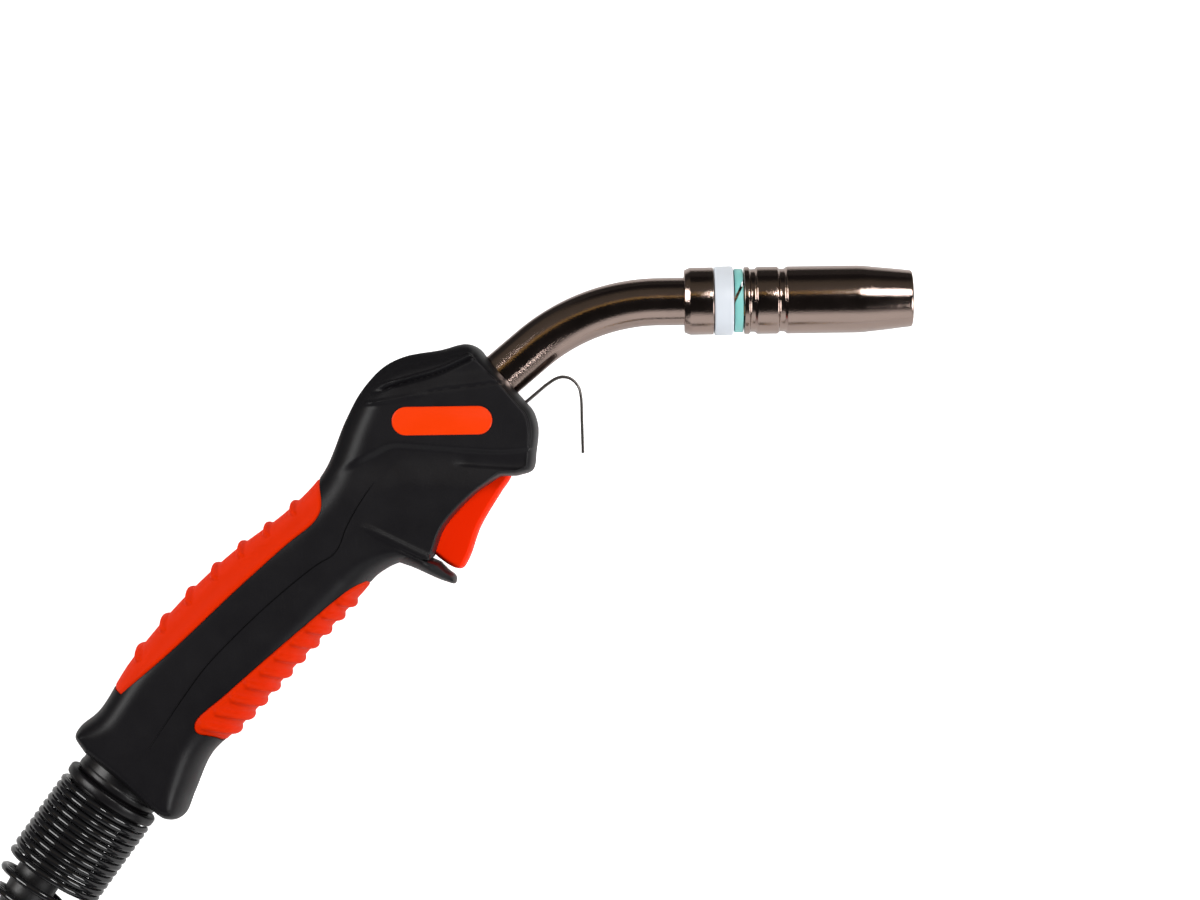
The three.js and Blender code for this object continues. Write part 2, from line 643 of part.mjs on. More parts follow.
/** A block in the switch's own directions. */
function switchBlock(back, inward, size, z = HALF) {
  return new THREE.BoxGeometry(...size).rotateZ(switchAngle).translate(...onSwitch(back, inward, z));
}
const PLUNGER_OUT = 2;
const switchCase = cut(
  solidOf(switchBlock(4.5, PLUNGER_OUT + SWITCH_DEPTH / 2,
    [SWITCH_LENGTH, SWITCH_DEPTH, SWITCH_THICKNESS])),
  solidOf(switchBlock(0, PLUNGER_OUT + 1, [3.2, 6, 3.6])),
);
add('microswitch_body', switchCase, blackNylon);
add('switch_plunger', switchBlock(0, GAP + 1.3, [2.4, 2.6, 2.8]), orangePlastic);
[-2, 2].forEach((side, i) => {
  const z = HALF + side;
  const bladeStart = 4.5 + SWITCH_LENGTH / 2 + GAP;
  add(`switch_terminal_${i + 1}`, switchBlock(bladeStart + 2.5, 6, [5, 3, 0.8], z), brass);
  const wire = new THREE.CatmullRomCurve3([onSwitch(bladeStart + 5.4, 6, z),
    onSwitch(bladeStart + 9, 7, z), onSwitch(bladeStart + 13, 9.5, z),
    onSwitch(bladeStart + 17, 11.6, z)].map((p) => new THREE.Vector3(...p)));
  add(`control_wire_${i + 1}`, rope(wire, 0.8, 10, 8), i === 0 ? redWire : blackRubber);
});

// ---- cable support in the handle's mouth ------------------------------------------------

const support = (profile, sides) => along(turned(profile, sides), onRear(0), onRear(1));
const SLEEVE_BORE_R = CABLE_R + 0.7;
add('support_sleeve', support([[-FLANGE_END, SLEEVE_BORE_R], [-FLANGE_END, FLANGE_R],
  [-FLANGE_START, FLANGE_R], [-FLANGE_START, SLEEVE_R], [4.3, SLEEVE_R], [4.3, 13.8],
  [12, 13.8], [12, SLEEVE_BORE_R + 1.5], [9, SLEEVE_BORE_R]], 24), blackNylon);
add('spring_collar', support([[4.6, 14.2], [4.6, 16.6], [5, 17], [7.4, 17], [7.8, 16.6],
  [7.8, 14.2]], 24), blackNylon);

/** Distance of the bend spring's wire from the mouth after a number of turns. */
function springDistance(turn) {
  const open = Math.max(0, turn - SPRING_CLOSE_TURNS);
  const eased = open - 0.5 * (1 - Math.exp(-open / 0.5));
  return SPRING_START + SPRING_PITCH * turn + (SPRING_OPEN_PITCH - SPRING_PITCH) * eased;
}

/** Radius of the bend spring's wire after a number of turns. */
function springRadius(turn) {
  const open = Math.max(0, turn - SPRING_CLOSE_TURNS) / SPRING_OPEN_TURNS;
  return SPRING_R - (SPRING_R - SPRING_END_R) * open ** 1.9;
}
const springTurns = SPRING_CLOSE_TURNS + SPRING_OPEN_TURNS;
const bendSpring = new Helix(onRear(0), [...rearDirection, 0], springTurns, springRadius,
  springDistance);
add('bend_spring', rope(bendSpring, SPRING_WIRE_R, springTurns * 10, 5), springSteel);

// ---- cable, its stored coil and the central plug ----------------------------------------

const coilEntry = onRear(LEAD_LENGTH);
const coilCentre = [coilEntry[0] - rearSide[0] * COIL_R, coilEntry[1] - rearSide[1] * COIL_R];

const leadPoints = [onNeck(CABLE_NUT_END + GAP), [-188, -64.6, 20], [-205, -80.5, 20],
  [-224, -101, 20], [-243, -123.5, 20], [-258.1, -142.6, 20], onRear(0), [-276.7, -167.7, 20],
  [-286.5, -178, 20], [-297.7, -189.6, 20], [-304.2, -199.6, 20], [-309.5, -210.8, 20],
  [-314.8, -219.2, 19.7], [-324.4, -232.1, 17.2], [-333.9, -245, 12.8], [-342.8, -257, 10],
  [...coilEntry.slice(0, 2), 9.6]];
const LEAD_STEPS = 36;

/** A smooth curve through a list of points. */
const through = (points) => new THREE.CatmullRomCurve3(
  points.map((p) => new THREE.Vector3(...p)), false, 'centripetal',
);
const coilSides = 32;
const ringProfile = (grow) => [[COIL_LOW_Z - grow, COIL_INNER_R + 6],
  [COIL_LOW_Z - grow, COIL_OUTER_R - 6], [COIL_LOW_Z + 6, COIL_OUTER_R + grow],
  [COIL_HIGH_Z - 6, COIL_OUTER_R + grow], [COIL_HIGH_Z + grow, COIL_OUTER_R - 6],
  [COIL_HIGH_Z + grow, COIL_INNER_R + 6], [COIL_HIGH_Z - 6, COIL_INNER_R - grow],
  [COIL_LOW_Z + 6, COIL_INNER_R - grow]];
const coilRing = (grow) => along(turned(ringProfile(grow), coilSides),
  [...coilCentre, 0], [...coilCentre, 1]);

add('cable', cut(solidOf(rope(through(leadPoints), CABLE_R, LEAD_STEPS, 10)),
  solidOf(coilRing(GAP))), blackRubber);
add('cable_coil', coilRing(0), blackRubber);

/** A flat band around the coil's section at an angle round the coil. */
function tie(degrees) {
  const grow = GAP + TIE_THICKNESS;
  const frame = (extra, width) => box(
    [COIL_INNER_R - extra - TIE_SLACK, -width / 2, COIL_LOW_Z - extra],
    [COIL_OUTER_R + extra + TIE_SLACK, width / 2, COIL_HIGH_Z + extra],
  );
  const band = cut(solidOf(frame(grow, TIE_WIDTH)), solidOf(frame(GAP, TIE_WIDTH + 2)));
  return geometryOf(band).rotateZ(radians(degrees)).translate(...coilCentre, 0);
}
[60, 210].forEach((degrees, i) => add(`cable_tie_${i + 1}`, tie(degrees), blackNylon));

const plugDirection = [Math.cos(radians(PLUG_DEG)), Math.sin(radians(PLUG_DEG))];

/** The point a distance along the plug's axis, counted from where the cable leaves the coil. */
const onPlug = (distance, side = 0, up = 0) => [
  coilCentre[0] + COIL_R * plugDirection[1] + plugDirection[0] * distance + plugDirection[1] * side,
  coilCentre[1] - COIL_R * plugDirection[0] + plugDirection[1] * distance - plugDirection[0] * side,
  PLUG_Z + up,
];
const plugPiece = (profile, sides) => along(turned(profile, sides), onPlug(0), onPlug(1));
const TAIL_START = 62.6;
const RELIEF_START = 90;
const BODY_START = 132;
const NOSE_START = 180;
const NOSE_END = 211;
const NUT_END = 203;
const PIN_SIDE = 9.5;
const PIN_R = 1.3;
const PIN_BACK = 205;

const tail = through([onPlug(TAIL_START, 0, 0.8), onPlug(72, 0, 0.3), onPlug(80),
  onPlug(RELIEF_START - GAP)]);
add('cable_end', rope(tail, CABLE_R, 4, 10), blackRubber);
add('plug_strain_relief', plugPiece([[RELIEF_START, 0], [RELIEF_START, 10.2],
  [RELIEF_START + 6, 11], [BODY_START - GAP, 14.2], [BODY_START - GAP, 0]], 20), blackRubber);
add('plug_body', plugPiece([[BODY_START, 0], [BODY_START, 16], [BODY_START + 2, 17.5],
  [BODY_START + 12, 19.5], [BODY_START + 34, 19.5], [BODY_START + 38, 21.5],
  [NOSE_START - GAP, 21.5], [NOSE_START - GAP, 0]], 20), blackNylon);
add('plug_nut', plugPiece([[NOSE_START, 15.6], [NOSE_START, 22.4], [NOSE_START + 1, 23.2],
  [NUT_END - 1, 23.2], [NUT_END, 22.4], [NUT_END, 15.6]], 20), blackNylon);

const pinWays = [-PIN_SIDE, PIN_SIDE].map((side) => solidOf(
  bar(onPlug(PIN_BACK - 3.5, side), onPlug(NOSE_END + 1, side), PIN_R + GAP, 12),
));
add('plug_nose', cut(solidOf(plugPiece([[NOSE_START, 0], [NOSE_START, 15], [NOSE_END - 1, 15],
  [NOSE_END, 14], [NOSE_END, 0]], 20)), ...pinWays), brass);
[-PIN_SIDE, PIN_SIDE].forEach((side, i) => {
  const pin = bar(onPlug(PIN_BACK, side), onPlug(NOSE_END + 6, side), PIN_R, 12);
  add(`control_pin_${i + 1}`, pin, brass);
});
add('plug_gas_pin', plugPiece([[NOSE_END + GAP, 1.6], [NOSE_END + GAP, 4.8], [222, 4.8],
  [222, 3.6], [224.4, 3.6], [224.4, 4.8], [228, 4.8], [229, 4], [229, 1.6]], 16), brass);
add('plug_o_ring', plugPiece([[222.3, 3.95], [222.3, 5.1], [224.1, 5.1], [224.1, 3.95]], 16),
  blackRubber);

export default torch;
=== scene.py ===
"""Looks of a MIG welding torch lying on its side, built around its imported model.

Lengths inside the classes are millimetres in the torch's own side view: x runs forwards along the
gas nozzle from its front edge, y goes up towards the crest of the head, and z is measured from the
torch's middle plane. `spot` turns such a place into the frame's metres.
"""
import logging
import math
from dataclasses import dataclass, field
from enum import Enum
from typing import Callable, Sequence

import bmesh
import bpy
import numpy as np
from mathutils import Matrix, Vector, kdtree


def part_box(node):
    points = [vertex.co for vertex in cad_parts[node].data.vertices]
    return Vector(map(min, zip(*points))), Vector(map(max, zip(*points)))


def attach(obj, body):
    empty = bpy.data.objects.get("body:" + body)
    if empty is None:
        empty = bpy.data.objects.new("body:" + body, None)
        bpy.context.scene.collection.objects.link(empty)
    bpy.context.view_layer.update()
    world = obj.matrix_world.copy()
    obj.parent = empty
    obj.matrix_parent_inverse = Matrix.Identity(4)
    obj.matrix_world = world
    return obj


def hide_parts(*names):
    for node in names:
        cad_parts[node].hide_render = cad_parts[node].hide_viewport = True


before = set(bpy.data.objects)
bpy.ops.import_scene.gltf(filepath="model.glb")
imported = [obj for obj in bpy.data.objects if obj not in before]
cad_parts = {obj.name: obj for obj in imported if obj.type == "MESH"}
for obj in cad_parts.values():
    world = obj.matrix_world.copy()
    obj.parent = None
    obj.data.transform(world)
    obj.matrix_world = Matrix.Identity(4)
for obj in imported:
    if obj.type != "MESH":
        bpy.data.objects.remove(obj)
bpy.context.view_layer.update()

LOG = logging.getLogger("torch")
MM = 0.001
Point = tuple[float, ...]

NOZZLE_LOW, NOZZLE_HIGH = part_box("gas_nozzle")
TIP = Vector((NOZZLE_HIGH.x, (NOZZLE_LOW.y + NOZZLE_HIGH.y) / 2,
              (NOZZLE_LOW.z + NOZZLE_HIGH.z) / 2))
HALF = TIP.z / MM


def spot(x: float, y: float, z: float = 0.0) -> Vector:
    """The frame's place of a point given in millimetres of the side view."""
    return TIP + Vector((x, y, z)) * MM


# ---- the torch's bent line -------------------------------------------------------------------


@dataclass(frozen=True)
class TorchLine:
    """The middle line of neck and cable support.

    Attributes:
        bend_start: where the straight front of the neck ends, in mm.
        bend_radius: radius of the neck's bend.
        bend_deg: angle of the bend.
        mouth: centre of the handle's mouth.
        rear_deg: slope of the cable's way out, below the horizontal.
    """

    bend_start: float = -86.2
    bend_radius: float = 67.6
    bend_deg: float = 39.7
    mouth: Point = (-270.8, -159.75)
    rear_deg: float = 53.5

    def on_neck(self, past: float, side: float = 0.0, z: float = 0.0) -> Point:
        """A point `past` the end of the bend, `side` mm towards the hook."""
        a = math.radians(self.bend_deg)
        x = (self.bend_start - self.bend_radius * math.sin(a) - past * math.cos(a)
             + side * math.sin(a))
        y = -self.bend_radius * (1 - math.cos(a)) - past * math.sin(a) - side * math.cos(a)
        return (x, y, z)

    def on_rear(self, out: float, side: float = 0.0, z: float = 0.0) -> Point:
        """A point `out` of the mouth, `side` mm towards the upper left."""
        a = math.radians(self.rear_deg)
        x = self.mouth[0] - out * math.cos(a) - side * math.sin(a)
        y = self.mouth[1] - out * math.sin(a) + side * math.cos(a)
        return (x, y, z)

    def rear_axis(self) -> Vector:
        """Direction in which the cable leaves the handle."""
        a = math.radians(self.rear_deg)
        return Vector((-math.cos(a), -math.sin(a), 0.0))


LINE = TorchLine()


# ---- shader groups and finishes --------------------------------------------------------------


def group(name: str, inputs: dict[str, float], outputs: dict[str, str]) -> tuple:
    """Starts a shader node group.

    Args:
        name: the group's name.
        inputs: float inputs and their defaults.
        outputs: outputs and their socket types.

    Returns:
        The tree, its input node and its output node.
    """
    tree = bpy.data.node_groups.new(name, "ShaderNodeTree")
    for label, value in inputs.items():
        socket = tree.interface.new_socket(label, in_out="INPUT", socket_type="NodeSocketFloat")
        socket.default_value = value
    for label, kind in outputs.items():
        tree.interface.new_socket(label, in_out="OUTPUT", socket_type=kind)
    return tree, tree.nodes.new("NodeGroupInput"), tree.nodes.new("NodeGroupOutput")


def grain_group() -> bpy.types.NodeTree:
    """Fine moulded or plated grain: a height, and a slow mottling mask."""
    tree, source, sink = group(
        "surface_grain", {"Grain Size": 0.0004, "Mottle Size": 0.012},
        {"Height": "NodeSocketFloat", "Mottle": "NodeSocketFloat"})
    place = tree.nodes.new("ShaderNodeTexCoord")
    for size, label, detail in (("Grain Size", "Height", 3.0), ("Mottle Size", "Mottle", 4.0)):
        invert = tree.nodes.new("ShaderNodeMath")
        invert.operation = "DIVIDE"
        invert.inputs[0].default_value = 1.0
        tree.links.new(source.outputs[size], invert.inputs[1])
        noise = tree.nodes.new("ShaderNodeTexNoise")
        noise.inputs["Detail"].default_value = detail
        noise.inputs["Roughness"].default_value = 0.55
        tree.links.new(place.outputs["Object"], noise.inputs["Vector"])
        tree.links.new(invert.outputs[0], noise.inputs["Scale"])
        tree.links.new(noise.outputs["Fac"], sink.inputs[label])
    return tree


def scuff_group() -> bpy.types.NodeTree:
    """Fine handling marks: thin stretched streaks that only show here and there."""
    tree, source, sink = group("scuffs", {"Amount": 0.5}, {"Mask": "NodeSocketFloat"})
    place = tree.nodes.new("ShaderNodeTexCoord")
    turn = tree.nodes.new("ShaderNodeMapping")
    turn.inputs["Rotation"].default_value = (0.0, 0.0, 0.9)
    turn.inputs["Scale"].default_value = (2200.0, 160.0, 900.0)
    tree.links.new(place.outputs["Object"], turn.inputs["Vector"])
    streak = tree.nodes.new("ShaderNodeTexNoise")
    streak.inputs["Scale"].default_value = 1.0
    tree.links.new(turn.outputs["Vector"], streak.inputs["Vector"])
    patch = tree.nodes.new("ShaderNodeTexNoise")
    patch.inputs["Scale"].default_value = 70.0
    tree.links.new(place.outputs["Object"], patch.inputs["Vector"])
    sharpen = tree.nodes.new("ShaderNodeMapRange")
    sharpen.inputs["From Min"].default_value = 0.6
    sharpen.inputs["From Max"].default_value = 0.74
    tree.links.new(streak.outputs["Fac"], sharpen.inputs["Value"])
    where = tree.nodes.new("ShaderNodeMapRange")
    where.inputs["From Min"].default_value = 0.48
    where.inputs["From Max"].default_value = 0.66
    tree.links.new(patch.outputs["Fac"], where.inputs["Value"])
    both = tree.nodes.new("ShaderNodeMath")
    both.operation = "MULTIPLY"
    tree.links.new(sharpen.outputs["Result"], both.inputs[0])
    tree.links.new(where.outputs["Result"], both.inputs[1])
    amount = tree.nodes.new("ShaderNodeMath")
    amount.operation = "MULTIPLY"
    tree.links.new(both.outputs[0], amount.inputs[0])
    tree.links.new(source.outputs["Amount"], amount.inputs[1])
    tree.links.new(amount.outputs[0], sink.inputs["Mask"])
    return tree


GRAIN = grain_group()
SCUFFS = scuff_group()


def opaque(colour: Point, scale: float = 1.0, lift: float = 0.0) -> Point:
    """A colour for a shader socket, scaled and lifted but never above 1."""
    return (*(min(1.0, c * scale + lift) for c in colour), 1.0)


WORN_SCALE, WORN_LIFT = 1.5, 0.03


@dataclass(frozen=True)
class Finish:
    """A surface finish and the material it makes.

    Attributes:
        name: the material's name.
        slot: the record's material slot; not used.
        colour: linear base colour.
        shade: how much the slow mottling darkens the colour, 0 to 1.
        roughness: middle roughness.
        rough_swing: how far the mottling moves the roughness.
        metallic: 0 or 1.
        grain_mm: size of the fine grain.
        mottle_mm: size of the slow mottling.
        bump: height of the grain, in mm.
        scuffs: strength of the handling marks.
        specular: strength of the mirror-like reflection.
    """

    name: str
    slot: str
    colour: Point
    shade: float = 0.1
    roughness: float = 0.5
    rough_swing: float = 0.1
    metallic: float = 0.0
    grain_mm: float = 0.4
    mottle_mm: float = 12.0
    bump: float = 0.02
    scuffs: float = 0.0
    specular: float = 0.5

    def material(self) -> bpy.types.Material:
        """The finish's material, built once."""
        made = bpy.data.materials.get(self.name)
        if made:
            return made
        made = bpy.data.materials.new(self.name)
        made.use_nodes = True
        nodes, links = made.node_tree.nodes, made.node_tree.links
        shader = nodes["Principled BSDF"]
        shader.inputs["Metallic"].default_value = self.metallic
        shader.inputs["Specular IOR Level"].default_value = self.specular
        grain = nodes.new("ShaderNodeGroup")
        grain.node_tree = GRAIN
        grain.inputs["Grain Size"].default_value = self.grain_mm * MM
        grain.inputs["Mottle Size"].default_value = self.mottle_mm * MM
        tint = nodes.new("ShaderNodeMix")
        tint.data_type = "RGBA"
        tint.inputs["A"].default_value = opaque(self.colour, 1 - self.shade)
        tint.inputs["B"].default_value = opaque(self.colour, 1 + self.shade)
        links.new(grain.outputs["Mottle"], tint.inputs["Factor"])
        rough = nodes.new("ShaderNodeMapRange")
        rough.inputs["To Min"].default_value = max(0.02, self.roughness - self.rough_swing)
        rough.inputs["To Max"].default_value = min(1.0, self.roughness + self.rough_swing)
        links.new(grain.outputs["Mottle"], rough.inputs["Value"])
        colour_out, rough_out = tint.outputs["Result"], rough.outputs["Result"]
        if self.scuffs:
            marks = nodes.new("ShaderNodeGroup")
            marks.node_tree = SCUFFS
            marks.inputs["Amount"].default_value = self.scuffs
            worn = nodes.new("ShaderNodeMix")
            worn.data_type = "RGBA"
            worn.inputs["B"].default_value = opaque(self.colour, WORN_SCALE, WORN_LIFT)
            links.new(marks.outputs["Mask"], worn.inputs["Factor"])
            links.new(colour_out, worn.inputs["A"])
            colour_out = worn.outputs["Result"]
        links.new(colour_out, shader.inputs["Base Color"])
        links.new(rough_out, shader.inputs["Roughness"])
        bump = nodes.new("ShaderNodeBump")
        bump.inputs["Distance"].default_value = self.bump * MM
        bump.inputs["Strength"].default_value = 1.0
        links.new(grain.outputs["Height"], bump.inputs["Height"])
        links.new(bump.outputs["Normal"], shader.inputs["Normal"])
        return made

    def dress(self, piece: bpy.types.Object, body: str) -> bpy.types.Object:
        """Gives a new piece this finish and its body."""
        piece.data.materials.clear()
        piece.data.materials.append(self.material())
        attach(piece, body)
        return piece

    def coat_node(self, *names: str) -> None:
        """Gives CAD nodes that stay on show this finish."""
        for name in names:
            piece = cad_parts[name]
            piece.data.materials.clear()
            piece.data.materials.append(self.material())


NYLON = Finish("textured_nylon", "black_nylon", (0.0064, 0.006, 0.0072), roughness=0.41,
               bump=0.035, grain_mm=0.35, scuffs=0.1, specular=0.17)
SMOOTH_NYLON = Finish("smooth_nylon", "black_nylon", (0.007, 0.0066, 0.0074), roughness=0.33,
                      bump=0.01, grain_mm=0.8, scuffs=0.1, specular=0.28)
SOFT_GRIP = Finish("orange_soft_grip", "orange_grip", (0.63, 0.0215, 0.0004), shade=0.06,
                   roughness=0.5, bump=0.02, grain_mm=0.3, specular=0.03)
TRIGGER_PLASTIC = Finish("orange_trigger_plastic", "orange_plastic", (1.0, 0.024, 0.0003),
                         shade=0.01, roughness=0.38, bump=0.006, grain_mm=0.6, specular=0.05)
BADGE_PLASTIC = Finish("orange_badge_plastic", "orange_plastic", (0.78, 0.04, 0.001), shade=0.04,
                       roughness=0.34, bump=0.006, grain_mm=0.6, specular=0.15)
NICKEL = Finish("smoky_nickel_plating", "smoky_nickel", (0.36, 0.275, 0.24), shade=0.08,
                roughness=0.12, rough_swing=0.05, metallic=1.0, grain_mm=0.5, bump=0.045,
                mottle_mm=6.0)
BRASS = Finish("turned_brass", "brass", (0.72, 0.5, 0.22), roughness=0.28, metallic=1.0,
               grain_mm=0.5, bump=0.006)
COPPER = Finish("drawn_copper", "copper", (0.72, 0.36, 0.22), roughness=0.3, metallic=1.0,
                grain_mm=0.5, bump=0.006)
ZINC = Finish("zinc_plated_steel", "steel", (0.6, 0.6, 0.62), roughness=0.3, metallic=1.0,
              grain_mm=0.4, bump=0.006)
BLACK_STEEL = Finish("blackened_spring_steel", "spring_steel", (0.008, 0.008, 0.009),
                     roughness=0.12, rough_swing=0.05, bump=0.003, grain_mm=0.5, specular=0.5)
HOOK_STEEL = Finish("dark_hook_steel", "spring_steel", (0.12, 0.11, 0.105), roughness=0.34,
                    metallic=1.0, bump=0.004)
CERAMIC = Finish("white_insulator", "white_ceramic", (0.62, 0.66, 0.72), shade=0.04,
                 roughness=0.4, bump=0.01)
MINT = Finish("mint_insulator", "mint_plastic", (0.21, 0.55, 0.525), shade=0.08, roughness=0.42,
              bump=0.008)
RUBBER = Finish("cable_rubber", "black_rubber", (0.011, 0.0105, 0.0115), shade=0.2, roughness=0.45,
                bump=0.012, grain_mm=1.2)
LINER = Finish("liner_plastic_finish", "liner_plastic", (0.7, 0.7, 0.66), roughness=0.45)
RED_WIRE = Finish("red_wire_insulation", "red_wire", (0.55, 0.04, 0.03), roughness=0.4)


# ---- mesh tools ------------------------------------------------------------------------------


def piece_from(mesh: bmesh.types.BMesh, name: str, smooth_deg: float = 35.0,
               recalc: bool = True) -> bpy.types.Object:
    """Makes an object at the origin from a bmesh in millimetres of the side view.

    Args:
        mesh: the bmesh, which is freed.
        name: name of the object.
        smooth_deg: edges sharper than this stay crisp.
        recalc: whether the faces are turned outwards.

    Returns:
        The new object.
    """
    if recalc:
        bmesh.ops.recalc_face_normals(mesh, faces=mesh.faces)
    for face in mesh.faces:
        face.smooth = True
    limit = math.radians(smooth_deg)
    for edge in mesh.edges:
        if len(edge.link_faces) == 2 and edge.calc_face_angle(0.0) > limit:
            edge.smooth = False
    mesh.transform(Matrix.Translation(TIP) @ Matrix.Scale(MM, 4))
    data = bpy.data.meshes.new(name)
    mesh.to_mesh(data)
    mesh.free()
    piece = bpy.data.objects.new(name, data)
    bpy.context.scene.collection.objects.link(piece)
    return piece


def axis_matrix(origin: Point, direction: Vector) -> Matrix:
    """Turns +Z to a direction and moves the origin there, in millimetres."""
    turn = Vector((0, 0, 1)).rotation_difference(direction).to_matrix().to_4x4()
    return Matrix.Translation(Vector(origin)) @ turn


def spun(mesh: bmesh.types.BMesh, profile: Sequence[Point], place: Matrix,
         steps: int = 96) -> None:
    """Spins a profile of (along, radius) points about the placed Z axis into a closed shape."""
    verts = [mesh.verts.new((radius, 0.0, along)) for along, radius in profile]
    edges = [mesh.edges.new(pair) for pair in zip(verts, verts[1:])]
    on_axis = profile[0][1] == 0 and profile[-1][1] == 0
    if not on_axis:
        edges.append(mesh.edges.new((verts[-1], verts[0])))
    bmesh.ops.spin(mesh, geom=verts + edges, axis=(0, 0, 1), cent=(0, 0, 0), steps=steps,
                   angle=2 * math.pi, use_merge=True)
    bmesh.ops.remove_doubles(mesh, verts=mesh.verts, dist=1e-4)
    bmesh.ops.recalc_face_normals(mesh, faces=mesh.faces)
    bmesh.ops.transform(mesh, matrix=place, verts=mesh.verts)


def turned(name: str, profile: Sequence[Point], origin: Point, direction: Vector, steps: int = 96,
           smooth_deg: float = 35.0) -> bpy.types.Object:
    """A turned piece from (along, radius) points."""
    mesh = bmesh.new()
    spun(mesh, profile, axis_matrix(origin, direction), steps)
    return piece_from(mesh, name, smooth_deg)


def rounded(profile: Sequence[Point], radius: float = 0.3, cuts: int = 3) -> list[Point]:
    """A closed profile with each corner cut to a short arc.

    Args:
        profile: (along, radius) corners of a closed profile.
        radius: rounding at each corner, less where its edges are short.
        cuts: steps of each arc.

    Returns:
        The rounded profile.
    """
    out: list[Point] = []
    count = len(profile)
    for i, here in enumerate(profile):
        p = Vector(here)
        before, after = Vector(profile[i - 1]), Vector(profile[(i + 1) % count])
        reach = min(radius, (before - p).length * 0.45, (after - p).length * 0.45)
        a = p + (before - p).normalized() * reach
        b = p + (after - p).normalized() * reach
        for k in range(cuts + 1):
            t = k / cuts
            q = a * (1 - t) ** 2 + p * 2 * t * (1 - t) + b * t ** 2
            out.append((q.x, q.y))
    return out


def smooth_run(points: Sequence[Point], spacing: float) -> np.ndarray:
    """A smooth line through points, as evenly spaced places.

    Args:
        points: two or more places of any dimension.
        spacing: distance between the places made.

    Returns:
        An array with one row a place.
    """
    keys = np.array(points, float)
    if len(keys) == 2:
        count = max(2, int(np.linalg.norm(keys[1] - keys[0]) / spacing) + 1)
        return np.linspace(keys[0], keys[1], count)
    ends = [2 * keys[0] - keys[1], *keys, 2 * keys[-1] - keys[-2]]
    fine: list[np.ndarray] = []
    for p0, p1, p2, p3 in zip(ends, ends[1:], ends[2:], ends[3:]):
        spans = ((p0, p1), (p1, p2), (p2, p3))
        t = np.cumsum([0.0, *(math.sqrt(np.linalg.norm(b - a)) for a, b in spans)])
        for s in np.linspace(t[1], t[2], 24, endpoint=False):
            a1 = (t[1] - s) / (t[1] - t[0]) * p0 + (s - t[0]) / (t[1] - t[0]) * p1
            a2 = (t[2] - s) / (t[2] - t[1]) * p1 + (s - t[1]) / (t[2] - t[1]) * p2
            a3 = (t[3] - s) / (t[3] - t[2]) * p2 + (s - t[2]) / (t[3] - t[2]) * p3
            b1 = (t[2] - s) / (t[2] - t[0]) * a1 + (s - t[0]) / (t[2] - t[0]) * a2
            b2 = (t[3] - s) / (t[3] - t[1]) * a2 + (s - t[1]) / (t[3] - t[1]) * a3
            fine.append((t[2] - s) / (t[2] - t[1]) * b1 + (s - t[1]) / (t[2] - t[1]) * b2)
    line = np.array([*fine, keys[-1]])
    gone = np.concatenate([[0.0], np.cumsum(np.linalg.norm(np.diff(line, axis=0), axis=1))])
    count = max(2, int(round(gone[-1] / spacing)) + 1)
    places = np.linspace(0.0, gone[-1], count)
    return np.stack([np.interp(places, gone, line[:, k]) for k in range(line.shape[1])], axis=1)


def swept(name: str, points: np.ndarray, radius: float, sides: int = 12) -> bpy.types.Object:
    """A round bar along places in millimetres, closed at both ends."""
    curve = bpy.data.curves.new(name + "_line", "CURVE")
    curve.dimensions = "3D"
    curve.bevel_depth = radius * MM
    curve.bevel_resolution = max(0, sides // 4 - 1)
    curve.use_fill_caps = True
    spline = curve.splines.new("POLY")
    spline.points.add(len(points) - 1)
    for target, place in zip(spline.points, points):
        target.co = (*spot(*place), 1.0)
    holder = bpy.data.objects.new(name + "_holder", curve)
    bpy.context.scene.collection.objects.link(holder)
    bpy.context.view_layer.update()
    depsgraph = bpy.context.evaluated_depsgraph_get()
    data = bpy.data.meshes.new_from_object(holder.evaluated_get(depsgraph))
    data.name = name
    bpy.data.objects.remove(holder)
    bpy.data.curves.remove(curve)
    for face in data.polygons:
        face.use_smooth = True
    piece = bpy.data.objects.new(name, data)
    bpy.context.scene.collection.objects.link(piece)
    return piece


class Cut(Enum):
    """What a carving tool does to a piece."""

    AWAY = "DIFFERENCE"
    KEEP = "INTERSECT"
    ADD = "UNION"


def carve(piece: bpy.types.Object,
          tools: Sequence[tuple[bpy.types.Object, Cut]]) -> bpy.types.Object:
    """Applies boolean tools to a closed piece and removes the tools."""
    for tool, kind in tools:
        modifier = piece.modifiers.new("carve", "BOOLEAN")
        modifier.operation = kind.value
        modifier.object = tool
        modifier.solver = "MANIFOLD"
    return applied(piece, [tool for tool, _ in tools])


def applied(piece: bpy.types.Object, used: Sequence[bpy.types.Object] = ()) -> bpy.types.Object:
    """Applies a piece's modifiers and removes the objects that they used."""
    bpy.context.view_layer.update()
    depsgraph = bpy.context.evaluated_depsgraph_get()
    data = bpy.data.meshes.new_from_object(piece.evaluated_get(depsgraph))
    old = piece.data
    piece.modifiers.clear()
    piece.data = data
    bpy.data.meshes.remove(old)
    for tool in set(used):
        bpy.data.objects.remove(tool)
    return piece


def bar(name: str, start: Point, end: Point, radius: float, sides: int = 48) -> bpy.types.Object:
    """A plain round carving tool between two points."""
    direction = Vector(end) - Vector(start)
    length = direction.length
    mesh = bmesh.new()
    spun(mesh, [(0, 0), (0, radius), (length, radius), (length, 0)],
         axis_matrix(start, direction.normalized()), sides)
    return piece_from(mesh, name)


def slab(name: str, low: Point, high: Point) -> bpy.types.Object:
    """A plain box-shaped carving tool."""
    mesh = bmesh.new()
    size = Vector(high) - Vector(low)
    middle = (Vector(high) + Vector(low)) / 2
    bmesh.ops.create_cube(mesh, size=1.0,
                          matrix=Matrix.Translation(middle) @ Matrix.Diagonal((*size, 1.0)))
    return piece_from(mesh, name)


